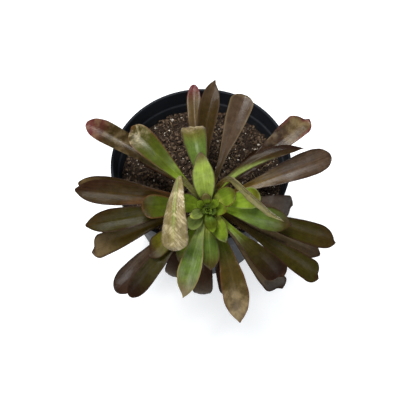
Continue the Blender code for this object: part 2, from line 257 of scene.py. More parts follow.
# What leaves of one kind share, and what every leaf has where nothing else is said
KIND_FINISHES = {
    "heart": {"flesh": 0.15},
    "inner": {"flesh": 0.12},
    "green": {"flesh": 0.06, "edge_width": 0.14},
    "outer": {"centre": 0.35, "edge_width": 0.2},
    "limp": {},
}
PLAIN_HABIT = dict.fromkeys(("cup", "fold", "roll", "skew", "ragged", "blunt"), 0.0)
PLAIN_HABIT.update(wave=0.03, dents=0.12 * MM, shown=1)
PLAIN_FINISH = {
    "blade_start": 0.42,
    "tip_start": 0.82,
    "edge_width": 0.12,
    "streaks": 0.3,
    "blotches": 0.5,
    # A faint painted sheen on the upper face of every leaf, in the painted sheen colour
    "bloom": 0.01,
    "bloom_start": -0.2,
    "crinkle": 0.0,
    "painted_sheen_colour": "painted_sheen_colour",
    "lean": 0.0,
    "edge_start": 0.0,
    "centre": 0.0,
    "centre_width": 0.8,
    "pores": 0.12,
    "flesh": 0.0,
    "wrinkles": 0.15,
    "gloss": 0.05,
    "gloss_rough": 0.20,
}


# Sockets of the leaf's colour group. Each amount is a leaf's finish of the same name. The last colour
# and the last three amounts lay the painted sheen.
LEAF_HUES = ("Stalk", "Base", "Blade", "Tip", "Edge", "Under", "Painted Sheen Colour")
LEAF_AMOUNTS = (
    "Blade Start", "Tip Start", "Lean", "Edge Start", "Edge Width", "Centre",
    "Centre Width", "Streaks", "Blotches", "Bloom", "Crinkle", "Bloom Start",
)

# The leaf's textures: repeats a metre and layers of detail
CLOUDS = (110.0, 3.0)
PATCHES = (260.0, 3.0)
SPECKLES = (1700.0, 2.0)
# The painted sheen's patches
PAINTED_SHEEN_PATCHES = (140.0, 3.0)
DULL_PATCHES = (160.0, 4.0)
PORES = (950.0, 3.0)

# Its lines: repeats a metre across, along and between leaves
CREASE_LINES = (190.0, 620.0, 1.0)
STREAK_LINES = (1500.0, 90.0, 1.0)
VEIN_LINES = (1100.0, 70.0, 1.0)
CREASE_SLANT = 1.1

# Where the leaf's masks begin and are full. Along runs from 0 at the stem to 1 at the tip,
# across from 0 at the midrib to 1 at the margin, face from -1 at the back to 1 on top.
BASE_START = 0.05
BOUND_SOFT, BOUND_UNEVEN = 0.12, 0.30
RIB_ACROSS, RIB_ALONG = (0.12, 0.0), (0.92, 0.6)
CENTRE_ALONG = (0.97, 0.7)
# The painted sheen shows only towards the upper face
BACK_FACE, PAINTED_SHEEN_FACE = (0.15, -0.25), (-0.1, 0.3)
MARGIN_FULL, MARGIN_SOFT, MARGIN_TIP = 1.04, 0.15, (0.955, 1.0)
# The painted sheen lies in patches and along creases, and fades in over a share of the length
PAINTED_SHEEN_EASE, PAINTED_SHEEN_CREASES, PAINTED_SHEEN_SOFT = (0.40, 0.70), (0.42, 0.62), 0.2
CREASED_ACROSS = (0.08, 0.3)
DULL_EASE = (0.3, 0.7)

# How strong the leaf's marks are
PATCH_STRENGTH, SPECKLE_STRENGTH = 1.0, 0.36
RIB_PALENESS = 0.25
BACK_COVER, MARGIN_COVER = 0.65, 0.9
MARGIN_FRAY = 0.12
VEIN_STRENGTH = 0.35
DULLER = 0.14
FLESH_REACH, FLESH_SCALE = (1.0, 0.9, 0.35), 1.2 * MM

# Grit and bark: the scale of their fine grain beside the coarse, and how it is read as
# brightness (scale, offset), roughness (least, most) and height
FINE_EASE = (0.2, 0.8)
GRIT_FINENESS, GRIT_BRIGHTNESS, GRIT_ROUGHNESS = 4.0, (1.7, 0.15), (0.75, 1.0)
GRIT_FINE_HEIGHT = 0.4
BARK_FINENESS, BARK_BRIGHTNESS, BARK_ROUGHNESS = 5.0, (1.2, 0.4), (0.6, 0.95)
SCARRED = (0.5, 0.66)

# Plastic: dust thins out over a height, lies in clouds and specks, and dulls the surface
DUST_SETTLES = (-12 * MM, 6 * MM)
DUST_CLOUDS, DUST_SPECKS, DUST_ROUGHNESS = (0.42, 0.75), (0.66, 0.75), 0.45
PLASTIC_BRIGHTNESS, PLASTIC_ROUGHNESS = (0.8, 0.6), (0.18, 0.42)
SCUFF_LINES, SCUFF_HEIGHT, SPECK_HEIGHT = (35.0, 35.0, 900.0), 0.3, 0.6


def colour_property(name, description, default):
    return FloatVectorProperty(
        name=name,
        description=description,
        default=default,
        subtype="COLOR",
        min=0.0,
        max=1.0,
    )


def length_property(name, description, default):
    return FloatProperty(name=name, description=description, default=default, unit="LENGTH")


class AeoniumPalette(bpy.types.PropertyGroup):
    """The colours that leaves are made from, by name."""

    hazel: colour_property("Hazel", "Palest green of leaf bases", (0.331, 0.369, 0.062))
    sap: colour_property("Sap", "Pale yellow-green of young leaves", (0.227, 0.296, 0.05))
    lime: colour_property("Lime", "Bright yellow-green", (0.164, 0.243, 0.018))
    grass: colour_property("Grass", "Fresh green", (0.101, 0.148, 0.011))
    leaf: colour_property("Leaf", "Plain leaf green", (0.066, 0.103, 0.016))
    deep: colour_property("Deep", "Deep olive green", (0.042, 0.056, 0.004))
    sage: colour_property("Sage", "Greyed green", (0.143, 0.182, 0.044))
    olive: colour_property("Olive", "Olive green", (0.07, 0.065, 0.005))
    moss: colour_property("Moss", "Dark olive brown", (0.037, 0.025, 0.004))
    bog: colour_property("Bog", "Blackish olive", (0.022, 0.018, 0.002))
    umber: colour_property("Umber", "Dark brown", (0.027, 0.016, 0.004))
    chestnut: colour_property("Chestnut", "Warm red-brown", (0.065, 0.028, 0.009))
    copper: colour_property("Copper", "Orange brown of old stalks", (0.082, 0.05, 0.009))
    bronze: colour_property("Bronze", "Pinkish brown", (0.074, 0.048, 0.019))
    taupe: colour_property("Taupe", "Grey brown", (0.092, 0.064, 0.032))
    sand: colour_property("Sand", "Golden beige", (0.142, 0.109, 0.036))
    straw: colour_property("Straw", "Pale gold of a limp leaf", (0.21, 0.185, 0.07))
    plum: colour_property("Plum", "Purple brown", (0.046, 0.028, 0.016))
    dusk: colour_property("Dusk", "Dark purple brown", (0.021, 0.009, 0.004))
    ebony: colour_property("Ebony", "Near-black brown", (0.012, 0.005, 0.003))
    crimson: colour_property("Crimson", "Deep red of sunned margins", (0.075, 0.012, 0.014))
    slate: colour_property("Slate", "Blue-grey purple", (0.046, 0.039, 0.035))
    # The last three colours are painted sheen, laid on leaves as painted highlights and glints: a pale
    # one for all leaves, a golden one for sheened tips, and a bright gold one for glints on creases.
    painted_sheen_colour: colour_property("Painted Sheen Colour", "Pale waxy bloom", (0.3, 0.3, 0.24))
    painted_gold_sheen: colour_property("Painted gold sheen", "Golden sheen of ripe skin", (0.3, 0.225, 0.115))
    painted_glint: colour_property("Painted glint", "Bright gold of dry skin", (0.66, 0.56, 0.34))


class AeoniumLeafSettings(bpy.types.PropertyGroup):
    """How every leaf's skin is made."""

    rib_depth: length_property("Rib depth", "Depth of the groove over the midrib", 0.25 * MM)
    tuck: length_property("Tuck", "How far a leaf's base reaches into the stem", 1.4 * MM)
    relief: length_property("Relief", "Height of the skin's veins and wrinkles", 0.35 * MM)
    channel: FloatProperty(
        name="Channel",
        description="How deep the stalk's channel is, as a share of its thickness",
        default=0.75,
    )


class AeoniumStemSettings(bpy.types.PropertyGroup):
    """The woody stem."""

    scar_depth: length_property("Scar depth", "Height of the leaf scars' ridges", 0.5 * MM)
    scar_spacing: length_property("Scar spacing", "Distance between scars along the stem", 3.4 * MM)
    bark: colour_property("Bark", "Brown of the woody stem", (0.12, 0.075, 0.04))
    scar: colour_property("Scar", "Pale brown of leaf scars", (0.24, 0.17, 0.10))


class AeoniumCompostSettings(bpy.types.PropertyGroup):
    """The compost and what lies on it."""

    lump_height: length_property("Lump height", "Height of the compost's lumps", 2.6 * MM)
    crumbs: IntProperty(name="Crumbs", description="Number of loose crumbs", default=2200)
    perlite: IntProperty(name="Perlite", description="Number of perlite grains", default=420)
    straws: IntProperty(name="Straws", description="Number of fibres and straws", default=150)
    chips: IntProperty(name="Chips", description="Number of bark chips", default=160)
    peat_dark: colour_property("Dark peat", "Colour of wet peat", (0.010, 0.006, 0.004))
    peat_mid: colour_property("Peat", "Colour of most of the compost", (0.035, 0.021, 0.013))
    peat_light: colour_property("Dry peat", "Colour of dry crumbs", (0.14, 0.095, 0.06))
    perlite_white: colour_property("Perlite", "Colour of perlite", (0.62, 0.56, 0.47))
    straw_gold: colour_property("Straw", "Colour of fibres", (0.30, 0.21, 0.11))
    bark_dark: colour_property("Dark bark", "Darkest colour of bark chips", (0.03, 0.017, 0.009))
    bark_mid: colour_property("Bark", "Colour of most bark chips", (0.08, 0.046, 0.024))
    bark_light: colour_property("Dry bark", "Palest colour of bark chips", (0.2, 0.13, 0.07))


class AeoniumPotSettings(bpy.types.PropertyGroup):
    """The nursery pot."""

    collar_height: length_property("Collar height", "Height of the rim's collar", 17 * MM)
    collar_step: length_property("Collar step", "How far the collar stands out", 2.6 * MM)
    collar_taper: length_property("Collar taper", "How much the collar closes below", 1.2 * MM)
    rim_thickness: length_property("Rim thickness", "Thickness of the collar's wall", 2.4 * MM)
    wall: length_property("Wall", "Thickness of the pot's wall", 1.6 * MM)
    floor: length_property("Floor", "Thickness of the pot's floor", 2.2 * MM)
    base_radius: length_property("Base radius", "Radius of the pot's underside", 58 * MM)
    drain_radius: length_property("Drain radius", "Radius of a drain hole", 4.5 * MM)
    drain_circle: length_property("Drain circle", "Radius the drain holes lie on", 43 * MM)
    drains: IntProperty(name="Drains", description="Number of drain holes", default=8)
    plastic: colour_property("Plastic", "Black of the plastic", (0.013, 0.015, 0.019))
    dust: colour_property("Dust", "Dry compost dust on the plastic", (0.10, 0.075, 0.05))


class AeoniumStageSettings(bpy.types.PropertyGroup):
    """Camera, floor and lights."""

    lens: FloatProperty(name="Lens", description="Focal length", default=51.92, unit="CAMERA")
    viewpoint: FloatVectorProperty(
        name="Viewpoint",
        description="Where the camera stands",
        default=(0.0174, -0.2715, 0.5411),
        subtype="TRANSLATION",
        unit="LENGTH",
    )
    look_down: FloatProperty(
        name="Look down",
        description="How far below level the camera looks",
        default=math.radians(62.1),
        subtype="ANGLE",
    )
    look_aside: FloatProperty(
        name="Look aside",
        description="How far right of the pot's depth axis the camera looks",
        default=math.radians(-2.7),
        subtype="ANGLE",
    )
    tilt: FloatProperty(
        name="Tilt", description="The camera's roll", default=math.radians(-2.2), subtype="ANGLE"
    )
    key: FloatProperty(name="Key", description="Power of the window light", default=19.0, unit="POWER")
    fill: FloatProperty(name="Fill", description="Power of the front fill", default=7.0, unit="POWER")
    sky: FloatProperty(name="Sky", description="Strength of the surrounding light", default=0.33)
    glow: FloatProperty(name="Glow", description="Light that the white floor gives", default=0.38)
    floor: colour_property("Floor", "Colour of the pale floor", (0.86, 0.87, 0.88))
    air: colour_property("Air", "Colour of the surrounding light", (0.95, 0.98, 1.0))


SETTINGS = {
    "aeonium_palette": AeoniumPalette,
    "aeonium_leaf": AeoniumLeafSettings,
    "aeonium_stem": AeoniumStemSettings,
    "aeonium_compost": AeoniumCompostSettings,
    "aeonium_pot": AeoniumPotSettings,
    "aeonium_stage": AeoniumStageSettings,
}


# Shader helpers


def put(tree, kind, inputs=None, **values):
    """Adds a node; each input is a value or the socket that feeds it."""
    made = tree.nodes.new(kind)
    for name, value in values.items():
        setattr(made, name, value)
    for name, value in (inputs or {}).items():
        if isinstance(value, bpy.types.NodeSocket):
            tree.links.new(value, made.inputs[name])
        else:
            made.inputs[name].default_value = value
    return made


def maths(tree, operation, *values):
    made = put(tree, "ShaderNodeMath", dict(enumerate(values)), operation=operation)
    return made.outputs[0]


def times(tree, first, second):
    return maths(tree, "MULTIPLY", first, second)


def plus(tree, first, second):
    return maths(tree, "ADD", first, second)


def minus(tree, first, second):
    return maths(tree, "SUBTRACT", first, second)


def scaled(tree, value, scale, offset):
    return maths(tree, "MULTIPLY_ADD", value, scale, offset)


def spread(tree, value, amount):
    """A texture's value around its middle, from minus to plus half the amount."""
    return scaled(tree, value, amount, -0.5 * amount)


def ease(tree, value, start, end, low=0.0, high=1.0):
    """A smooth ramp from low at start to high at end."""
    inputs = {"Value": value, "From Min": start, "From Max": end, "To Min": low, "To Max": high}
    made = put(tree, "ShaderNodeMapRange", inputs, interpolation_type="SMOOTHSTEP")
    return made.outputs["Result"]


def blend(tree, share, first, second):
    """Mixes two colours; share is how much of the second."""
    inputs = {0: share, 6: first, 7: second}
    return put(tree, "ShaderNodeMix", inputs, data_type="RGBA").outputs[2]


def grain(tree, place, scale, detail=3.0, roughness=0.55):
    """A cloudy texture; scale is its repeats a metre, detail its finer layers."""
    inputs = {"Vector": place, "Scale": scale, "Detail": detail, "Roughness": roughness}
    return put(tree, "ShaderNodeTexNoise", inputs).outputs["Fac"]


def lined(tree, place, scales, detail=3.0):
    """A texture drawn out into lines by its own repeats a metre along each axis."""
    drawn = put(tree, "ShaderNodeMapping", {"Vector": place, "Scale": scales})
    return grain(tree, drawn.outputs["Vector"], 1.0, detail)


def brightened(tree, colour, value):
    return put(tree, "ShaderNodeHueSaturation", {"Color": colour, "Value": value}).outputs[0]


def object_place(tree):
    return put(tree, "ShaderNodeTexCoord").outputs["Object"]


def parted(tree, place):
    return put(tree, "ShaderNodeSeparateXYZ", {"Vector": place}).outputs


def new_group(name, colours, amounts, results=("Color", "Roughness", "Height")):
    """A shader node group with named sockets: its tree, its inputs and its output node."""
    tree = bpy.data.node_groups.new(name, "ShaderNodeTree")
    sockets = [(label, "INPUT", "NodeSocketColor") for label in colours]
    sockets += [(label, "INPUT", "NodeSocketFloat") for label in amounts]
    for label in results:
        kind = "NodeSocketColor" if label == "Color" else "NodeSocketFloat"
        sockets.append((label, "OUTPUT", kind))
    for label, side, kind in sockets:
        tree.interface.new_socket(name=label, in_out=side, socket_type=kind)
    given = tree.nodes.new("NodeGroupInput").outputs
    return tree, given, tree.nodes.new("NodeGroupOutput").inputs


def give_out(tree, out, **results):
    """Links a group's results to its output node."""
    for socket, value in results.items():
        tree.links.new(value, out[socket])


def use_group(tree, name, inputs):
    group = bpy.data.node_groups[name]
    return put(tree, "ShaderNodeGroup", inputs, node_tree=group).outputs


def group_surface(name, inputs):
    """A surface whose colour, roughness and height are one group's outputs."""

    def surface(tree):
        made = use_group(tree, name, inputs)
        return made["Color"], made["Roughness"], made["Height"]

    return surface


def leaf_places(tree):
    """Across, along and face of a leaf's skin, and its laid-out place in metres."""
    grown = put(tree, "ShaderNodeAttribute", attribute_name="grown").outputs["Vector"]
    laid = put(tree, "ShaderNodeAttribute", attribute_name="laid").outputs["Vector"]
    parts = parted(tree, grown)
    return parts["X"], parts["Y"], parts["Z"], laid


def creased(tree, laid):
    """Slanting creases that run from the midrib out to both margins."""
    parts = parted(tree, laid)
    aside = maths(tree, "ABSOLUTE", parts["X"])
    slanted = scaled(tree, aside, -CREASE_SLANT, parts["Y"])
    place = put(tree, "ShaderNodeCombineXYZ", {"X": parts["X"], "Y": slanted, "Z": parts["Z"]})
    return lined(tree, place.outputs[0], CREASE_LINES)


def stretch_colour(tree, given, across, along, clouds):
    """The colours from stalk to tip, with uneven bounds that lean across the leaf."""
    along = scaled(tree, spread(tree, clouds, BOUND_UNEVEN), given["Blotches"], along)
    along = scaled(tree, across, given["Lean"], along)
    based = times(tree, given["Blade Start"], 0.5)
    colour = blend(tree, ease(tree, along, BASE_START, based), given["Stalk"], given["Base"])
    full = plus(tree, given["Blade Start"], BOUND_SOFT)
    colour = blend(tree, ease(tree, along, based, full), colour, given["Blade"])
    begin = minus(tree, given["Tip Start"], BOUND_SOFT)
    return blend(tree, ease(tree, along, begin, 1.0), colour, given["Tip"])


def leaf_brightness(tree, given, side, along, laid):
    """How light the skin is: streaks, speckles and patches, and a paler midrib."""
    streaks = spread(tree, lined(tree, laid, STREAK_LINES), 2.0)
    value = scaled(tree, streaks, given["Streaks"], 1.0)
    value = plus(tree, value, spread(tree, grain(tree, laid, *SPECKLES), SPECKLE_STRENGTH))
    value = plus(tree, value, spread(tree, grain(tree, laid, *PATCHES), PATCH_STRENGTH))
    rib = times(tree, ease(tree, side, *RIB_ACROSS), ease(tree, along, *RIB_ALONG))
    return scaled(tree, rib, RIB_PALENESS, value)


def margin_mask(tree, given, side, along, clouds):
    """How much of the margin's colour shows: along both margins and at the very tip."""
    inner = minus(tree, 1.0, given["Edge Width"])
    frayed = scaled(tree, clouds, MARGIN_FRAY, side)
    margins = ease(tree, frayed, inner, MARGIN_FULL)
    mask = maths(tree, "MAXIMUM", margins, ease(tree, along, *MARGIN_TIP))
    full = plus(tree, given["Edge Start"], MARGIN_SOFT)
    mask = times(tree, mask, ease(tree, along, given["Edge Start"], full))
    return times(tree, mask, MARGIN_COVER)


def painted_sheen_mask(tree, given, along, face, laid):
    """How much painted sheen lies on the skin: painted highlights in patches, on the upper face, over
    creases.
    """
    patches = ease(tree, grain(tree, laid, *PAINTED_SHEEN_PATCHES), *PAINTED_SHEEN_EASE)
    creases = ease(tree, creased(tree, laid), *PAINTED_SHEEN_CREASES)
    bare = minus(tree, 1.0, given["Crinkle"])
    crinkled = scaled(tree, creases, given["Crinkle"], bare)
    mask = times(tree, times(tree, patches, crinkled), given["Bloom"])
    mask = times(tree, mask, ease(tree, face, *PAINTED_SHEEN_FACE))
    full = plus(tree, given["Bloom Start"], PAINTED_SHEEN_SOFT)
    return times(tree, mask, ease(tree, along, given["Bloom Start"], full))


def make_leaf_colour_group():
    """A leaf's colour: its stretches, midrib, underside, margin and painted sheen."""
    tree, given, out = new_group("Leaf colour", LEAF_HUES, LEAF_AMOUNTS, ("Color",))
    across, along, face, laid = leaf_places(tree)
    side = maths(tree, "ABSOLUTE", across)
    clouds = grain(tree, laid, *CLOUDS)
    colour = stretch_colour(tree, given, across, along, clouds)
    middle = times(tree, ease(tree, side, given["Centre Width"], 0.0), given["Centre"])
    middle = times(tree, middle, ease(tree, along, *CENTRE_ALONG))
    colour = blend(tree, middle, colour, given["Base"])
    colour = brightened(tree, colour, leaf_brightness(tree, given, side, along, laid))
    below = times(tree, ease(tree, face, *BACK_FACE), BACK_COVER)
    colour = blend(tree, below, colour, given["Under"])
    colour = blend(tree, margin_mask(tree, given, side, along, clouds), colour, given["Edge"])
    # Painted sheen: a pale highlight colour over the upper face, in patches and along creases
    colour = blend(tree, painted_sheen_mask(tree, given, along, face, laid), colour, given["Painted Sheen Colour"])
    give_out(tree, out, Color=colour)


def make_leaf_skin_group():
    """A leaf's relief of veins, creases and pores, and where it is duller."""
    amounts = ("Smooth", "Rough", "Veins", "Wrinkles", "Pores")
    tree, given, out = new_group("Leaf skin", (), amounts, ("Roughness", "Height"))
    across, _, _, laid = leaf_places(tree)
    side = maths(tree, "ABSOLUTE", across)
    creases = times(tree, creased(tree, laid), ease(tree, side, *CREASED_ACROSS))
    height = times(tree, lined(tree, laid, VEIN_LINES, 2.0), given["Veins"])
    height = scaled(tree, creases, given["Wrinkles"], height)
    height = scaled(tree, grain(tree, laid, *PORES), given["Pores"], height)
    span = minus(tree, given["Rough"], given["Smooth"])
    dull = ease(tree, grain(tree, laid, *DULL_PATCHES), *DULL_EASE)
    roughness = scaled(tree, dull, span, given["Smooth"])
    give_out(tree, out, Roughness=roughness, Height=height)


def make_grit_group():
    """Loose matter: patches of three colours with dark pits between grains."""
    tree, given, out = new_group("Grit", ("Dark", "Mid", "Light"), ("Scale", "Dry"))
    place = object_place(tree)
    coarse = grain(tree, place, given["Scale"], 5.0, 0.65)
    fine = grain(tree, place, times(tree, given["Scale"], GRIT_FINENESS))
    cells = put(tree, "ShaderNodeTexVoronoi", {"Vector": place, "Scale": given["Scale"]}).outputs
    own = put(tree, "ShaderNodeSeparateColor", {"Color": cells["Color"]}).outputs["Red"]
    colour = blend(tree, ease(tree, coarse, 0.3, 0.6), given["Dark"], given["Mid"])
    dry = ease(tree, own, minus(tree, 1.0, given["Dry"]), 1.0)
    colour = blend(tree, dry, colour, given["Light"])
    colour = brightened(tree, colour, scaled(tree, fine, *GRIT_BRIGHTNESS))
    roughness = ease(tree, fine, *FINE_EASE, *GRIT_ROUGHNESS)
    height = scaled(tree, fine, GRIT_FINE_HEIGHT, minus(tree, coarse, cells["Distance"]))
    give_out(tree, out, Color=colour, Roughness=roughness, Height=height)


def make_wear_group():
    """Moulded plastic with dust that settles up to a height, scuffs and a fine grain."""
    amounts = ("Dust Top", "Amount")
    tree, given, out = new_group("Dusty plastic", ("Plastic", "Dust"), amounts)
    place = object_place(tree)
    clouds = grain(tree, place, 55.0, 6.0, 0.7)
    specks = grain(tree, place, 900.0, 3.0, 0.7)
    scuffs = lined(tree, place, SCUFF_LINES)
    above = minus(tree, given["Dust Top"], parted(tree, place)["Z"])
    settled = ease(tree, above, *DUST_SETTLES)
    dusty = times(tree, ease(tree, clouds, *DUST_CLOUDS), settled)
    dusty = maths(tree, "MAXIMUM", dusty, ease(tree, specks, *DUST_SPECKS))
    dusty = times(tree, dusty, given["Amount"])
    colour = brightened(tree, given["Plastic"], scaled(tree, clouds, *PLASTIC_BRIGHTNESS))
    colour = blend(tree, dusty, colour, given["Dust"])
    roughness = scaled(tree, scuffs, *PLASTIC_ROUGHNESS)
    roughness = scaled(tree, dusty, DUST_ROUGHNESS, roughness)
    height = scaled(tree, scuffs, SCUFF_HEIGHT, times(tree, specks, SPECK_HEIGHT))
    give_out(tree, out, Color=colour, Roughness=roughness, Height=height)


def make_bark_group():
    """Ridged woody skin with paler scars."""
    tree, given, out = new_group("Bark", ("Bark", "Scar"), ("Scale",))
    place = object_place(tree)
    patches = grain(tree, place, given["Scale"], 5.0, 0.65)
    lines = grain(tree, place, times(tree, given["Scale"], BARK_FINENESS))
    colour = blend(tree, ease(tree, patches, *SCARRED), given["Bark"], given["Scar"])
    colour = brightened(tree, colour, scaled(tree, lines, *BARK_BRIGHTNESS))
    roughness = ease(tree, lines, *FINE_EASE, *BARK_ROUGHNESS)
    give_out(tree, out, Color=colour, Roughness=roughness, Height=plus(tree, patches, lines))


def shaded(name, surface, relief, specular, flesh=0.0):
    """A material whose colour, roughness and height come from a group's outputs."""
    material = bpy.data.materials.new(name)
    material.use_nodes = True
    tree = material.node_tree
    shader = tree.nodes["Principled BSDF"]
    shader.inputs["Specular IOR Level"].default_value = specular
    if flesh:
        shader.inputs["Subsurface Weight"].default_value = flesh
        shader.inputs["Subsurface Radius"].default_value = FLESH_REACH
        shader.inputs["Subsurface Scale"].default_value = FLESH_SCALE
    colour, roughness, height = surface(tree)
    tree.links.new(colour, shader.inputs["Base Color"])
    tree.links.new(roughness, shader.inputs["Roughness"])
    bump = put(tree, "ShaderNodeBump", {"Height": height, "Distance": relief, "Strength": 1.0})
    tree.links.new(bump.outputs["Normal"], shader.inputs["Normal"])
    return material


def solid(colour):
    return (*colour, 1.0)


def leaf_material(node):
    """Every leaf has its own colours and finish on the shared skin."""
    palette = bpy.context.scene.aeonium_palette
    relief = bpy.context.scene.aeonium_leaf.relief
    kind = node.split("_")[1]
    finish = {**PLAIN_FINISH, **KIND_FINISHES[kind], **LEAF_FINISHES.get(node, {})}
    stalk, base, blade, tip, edge = LEAF_COLOURS[node].split()
    words = (stalk, base, blade, tip, edge, blade, finish["painted_sheen_colour"])
    hues = {label: solid(getattr(palette, word)) for label, word in zip(LEAF_HUES, words)}
    amounts = {label: finish[label.lower().replace(" ", "_")] for label in LEAF_AMOUNTS}
    smooth = finish["gloss_rough"]

    def surface(tree):
        colours = use_group(tree, "Leaf colour", {**hues, **amounts})
        skin = use_group(tree, "Leaf skin", {
            "Smooth": smooth, "Rough": smooth + DULLER, "Veins": VEIN_STRENGTH,
            "Wrinkles": finish["wrinkles"], "Pores": finish["pores"],
        })
        return colours["Color"], skin["Roughness"], skin["Height"]

    return shaded(f"{node}_skin", surface, relief, finish["gloss"], finish["flesh"])


# Mesh helpers


def add_piece(name, mesh, slot, material, replaced=()):
    """Puts a finished piece in the scene, riding on the body, in place of CAD nodes."""
    piece = bpy.data.objects.new(name, mesh)
    bpy.context.scene.collection.objects.link(piece)
    mesh.materials.append(material)
    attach(piece, BODY)
    if replaced:
        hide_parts(*replaced)
    return piece


def layers_from(start, neighbours):
    """Rows of points by how many edges they lie from a start point."""
    rows, seen, row = [], {start}, [start]
    while row:
        rows.append(row)
        row = sorted({n for point in row for n in neighbours[point]} - seen)
        seen.update(row)
    return rows


def walked_ring(row, neighbours):
    """A row of points in their order round the section."""
    left = set(row)
    order = [row[0]]
    left.discard(row[0])
    while left:
        following = [n for n in sorted(neighbours[order[-1]]) if n in left]
        order.append(following[0])
        left.discard(following[0])
    return order


def read_sections(node, sides, near):
    """A swept CAD node as (end point, ordered rings, other end), from the end nearest a place."""
    mesh = frame["nodes"][node].data
    index, points = {}, []
    corner = []
    for vertex in mesh.vertices:
        key = tuple(round(value, 6) for value in vertex.co)
        if key not in index:
            index[key] = len(points)
            points.append(vertex.co.copy())
        corner.append(index[key])
    neighbours = [set() for _ in points]
    for polygon in mesh.polygons:
        ring = [corner[v] for v in polygon.vertices]
        for a, b in zip(ring, ring[1:] + ring[:1]):
            neighbours[a].add(b)
            neighbours[b].add(a)
    found = []
    for pole, around in enumerate(neighbours):
        if len(around) == sides:
            rows = layers_from(pole, neighbours)
            if all(len(row) == sides for row in rows[1:-1]) and len(rows[-1]) == 1:
                found.append(rows)
    if not found:
        raise RuntimeError(f"{node} can't be read as a swept solid")
    rows = min(found, key=lambda rows: near(points[rows[0][0]]))
    rings = [[points[i] for i in walked_ring(row, neighbours)] for row in rows[1:-1]]
    return points[rows[0][0]], rings, points[rows[-1][0]]


def smooth_through(stations, values, at):
    """A cubic curve through values at stations, read at other stations."""
    stations, values, at = (np.asarray(x, float) for x in (stations, values, at))
    steps = np.diff(stations)
    wide = steps if values.ndim == 1 else steps[:, None]
    slopes = np.diff(values, axis=0) / wide
    tangents = np.empty_like(values)
    tangents[0], tangents[-1] = slopes[0], slopes[-1]
    tangents[1:-1] = (slopes[:-1] * wide[1:] + slopes[1:] * wide[:-1]) / (wide[1:] + wide[:-1])
    span = np.clip(np.searchsorted(stations, at, side="right") - 1, 0, len(steps) - 1)
    t = (at - stations[span]) / steps[span]
    step = steps[span]
    if values.ndim > 1:
        t, step = t[:, None], step[:, None]
    low, high = values[span], values[span + 1]
    return (
        low * (2 * t**3 - 3 * t**2 + 1)
        + tangents[span] * step * (t**3 - 2 * t**2 + t)
        + high * (3 * t**2 - 2 * t**3)
        + tangents[span + 1] * step * (t**3 - t**2)
    )


def eased(value, start, end):
    t = np.clip((np.asarray(value, float) - start) / (end - start), 0, 1)
    return t * t * (3 - 2 * t)


def unit(vectors):
    return vectors / np.linalg.norm(vectors, axis=-1, keepdims=True)


def distances(points):
    """How far along a line of points each one lies."""
    return np.concatenate([[0], np.cumsum(np.linalg.norm(np.diff(points, axis=0), axis=1))])


def tube_faces(rows, sides, start=0):
    """The faces between rows of points; start is the first point's number."""
    faces = []
    for row in range(rows - 1):
        for side in range(sides):
            other = (side + 1) % sides
            a = start + row * sides
            faces.append((a + side, a + other, a + sides + other, a + sides + side))
    return faces


def capped_tube(rows, sides):
    """The faces of a tube with flat ends."""
    ends = [tuple(range(sides - 1, -1, -1)), tuple(range((rows - 1) * sides, rows * sides))]
    return tube_faces(rows, sides) + ends


def rounded_mesh(name, rows, first, last, attributes=None):
    """A closed skin over rows of points, with a point at each end."""
    count, sides = rows.shape[:2]
    points = np.concatenate([[first], rows.reshape(-1, 3), [last]])
    faces = tube_faces(count, sides, start=1)
    end = 1 + (count - 1) * sides
    for side in range(sides):
        other = (side + 1) % sides
        faces.append((0, 1 + other, 1 + side))
        faces.append((len(points) - 1, end + side, end + other))
    mesh = bpy.data.meshes.new(name)
    mesh.from_pydata(points.tolist(), [], faces)
    for label, values in (attributes or {}).items():
        made = mesh.attributes.new(label, "FLOAT_VECTOR", "POINT")
        made.data.foreach_set("vector", values.astype(np.float32).ravel())
    bm = bmesh.new()
    bm.from_mesh(mesh)
    if bm.calc_volume(signed=True) < 0:
        bmesh.ops.reverse_faces(bm, faces=bm.faces)
    bm.to_mesh(mesh)
    bm.free()
    mesh.shade_smooth()
    return mesh


def joined_mesh(name, shapes, smooth=False):
    """Many small shapes as one mesh."""
    points, faces = [], []
    for some_points, some_faces in shapes:
        faces += [[i + len(points) for i in face] for face in some_faces]
        points += some_points
    mesh = bpy.data.meshes.new(name)
    mesh.from_pydata(points, [], faces)
    if smooth:
        mesh.shade_smooth()
    return mesh


# Leaves

# Where a leaf's shape changes, from 0 at the stem to 1 at the tip. Each pair is the stretch
# over which a feature comes or goes; LAST_ROW is the last section before the tip's point.
STALK_OPENS = (0.08, 0.5)
RIPPLES_START, DENTS_START = (0.15, 0.5), (0.1, 0.3)
RIB_FADES, SKEW_START, TEETH_START = (0.7, 0.95), (0.72, 0.97), (0.82, 0.97)
BLUNT_FROM, BLUNT_POWER = 0.8, 2.6
LAST_ROW = 0.9985

# A leaf's section, as shares of its half width: how far the stalk's margins stand up, how
# thick it may be, and how wide the midrib's groove and keel are. The keel's height is a share
# of the thickness, and the groove is at its deepest where the leaf is this wide.
STALK_CUP = 0.25
MOST_THICK = 0.75
GROOVE_WIDTH, KEEL_WIDTH, KEEL_HEIGHT = 0.11, 0.20, 0.22
GROOVE_FULL = 3 * MM

# Waves of the margins: how many along a leaf, each leaf's own step, share of the height
MARGIN_WAVES = ((7, 5.3, 1.0), (17, 9.1, 0.5))
RIPPLE_LIFT, RIPPLE_REACH = 2.2, 0.5

# Folds beside the midrib: repeats a metre across and along, and each leaf's own step
DENT_GRAIN = (260, 420, 3.3)

# Each leaf's own step through the skin's textures
LAID_STEP = 0.37


def paired_points(ring):
    """A section's two margins and its middles over and under."""
    half_turn, quarter = LEAF_SIDES // 2, LEAF_SIDES // 4
    widths = [(ring[i] - ring[i + half_turn]).length for i in range(half_turn)]
    first = widths.index(max(widths))
    a, over, b, under = (ring[(first + n * quarter) % LEAF_SIDES] for n in range(4))
    return a, b, over, under


